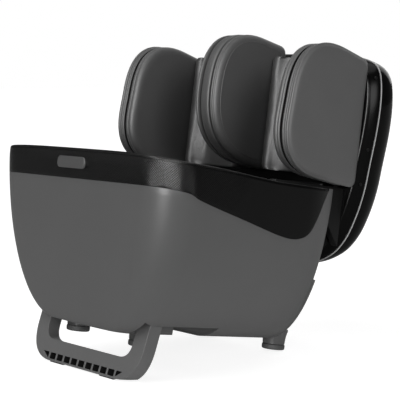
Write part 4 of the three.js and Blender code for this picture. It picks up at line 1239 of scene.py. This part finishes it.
def buildCradle(name, side, node):
    thick, reach = cradle["thickness"], cradle["tip"]

    def section(inset):
        left, right = cradle["inner"] + inset, cradle["outer"] - inset
        back, front = cradle["back"], cradle["back"] - thick + inset
        tip = front - reach
        middle = (left + right) / 2
        # from the outer wing's side over its tip and through the hollow: every second knot bends the curve
        knots = [
            (right, tip + 4), (right, tip), (right - thick / 2, tip), (right - thick, tip),
            (right - thick - 1, tip + 6), (right - thick * 2, front), (middle, front), (left + thick * 2, front),
            (left + thick + 1, tip + 6), (left + thick, tip), (left + thick / 2, tip), (left, tip), (left, tip + 4),
        ]
        line = [Vector((left, back)), Vector((right, back)), Vector(knots[0])]
        for k, count in enumerate((5, 5, 12, 12, 5, 5)):
            line += quadratic(*knots[2 * k : 2 * k + 3], count)
        return [Vector((p.x * side, p.y)) for p in resample(line, cradle["columns"])]

    foot, head, count = cradle["foot"], cradle["head"], cradle["levels"]
    low, high = foot[-1][0], head[0][0]
    levels = foot + [(low + (high - low) * k / count, 0) for k in range(1, count)] + head
    rings = [[Vector((p.x, p.y, cradle["bottom"] + z)) for p in section(inset)] for z, inset in levels]
    # the calf cushions take the darkened leatherette: painted shade
    piece = addPiece(name, loftBody(rings), shadeDarkenedLeatherette, "calf_unit", [node], sharp=70)
    span, height, sewn = (cradle["outer"] - cradle["inner"]) / 2, cradle["top"] - cradle["bottom"], cradle["sewn"]
    middle = cradle["inner"] + span

    def isHeld(p):
        # the back, both ends and the sides against the walls stay put
        if p.y > cradle["back"] - sewn or abs(abs(p.x) - middle) > span - sewn:
            return True
        return not sewn < p.z - cradle["bottom"] < height - sewn

    inflate(piece, isHeld, cradle["puff"])


buildCradle("calf_cushion_right", 1, "calf_pad_right")
buildCradle("calf_cushion_left", -1, "calf_pad_left")
print("stage: the calf cushions are made")

# Inside the tub

ends = ("front", "rear")
# nodes that keep their own shape: their body, material, how far their edges are rounded, and names
kept = [
    ("root", blackGloss, 0.7, "deck"),
    ("root", blackGloss, 0.6, "control_panel"),
    ("root", boardGreen, 0.2, "circuit_board"),
    ("root", blackNylon, 0.5, "chassis"),
    ("root", greyAbs, 0.5, "stand_bay"),
    ("root", blackNylon, 1.2, "gearbox"),
    ("root", blackNylon, 0.8, "bearing_rail_left", "bearing_rail_right"),
    ("root", blackNylon, 1.2, "air_pump", "power_supply"),
    ("root", blackNylon, 0.4, "mains_inlet"),
    ("root", blackNylon, 0.6, "pivot_boss_left", "pivot_boss_right"),
    ("root", canSteel, 1.0, "drive_motor"),
    ("root", steel, 0.5, "pivot_pin_left", "pivot_pin_right"),
    ("root", steel, 0.3, "stand_pin_left", "stand_pin_right"),
    ("root", rubberBlack, 0.2, "front_belt", "rear_belt"),
    ("calf_unit", blackNylon, 0.8, "tilt_ear_left", "tilt_ear_right"),
    ("calf_unit", canSteel, 0.8, "kneading_motor_left", "kneading_motor_right"),
    *[(f"kneader_{side}", greyNylon, 1.6, f"kneading_disc_{side}") for side in ("left", "right")],
    *[(f"{key}_key_cap", greyNylon, 0.6, f"{key}_key") for key in ("power", "mode", "strength", "heat")],
    ("drive_wheels", greyNylon, 0.4, "drive_pulley"),
    *[(f"{end}_axle", greyNylon, 0.4, f"{end}_pulley") for end in ends],
    *[(f"{end}_axle", steel, 0.4, f"{end}_shaft") for end in ends],
    *[(f"{end}_axle", rubberGrey, 0.5, f"{end}_roller_left", f"{end}_roller_right") for end in ends],
]
for body, material, width, *nodes in kept:
    for node in nodes:
        roundedCopy(node, material, width, body)
for side in ("left", "right"):
    roundedCopy(f"foot_liner_{side}", lining, 1.0)
print("stage: the inner parts are made")
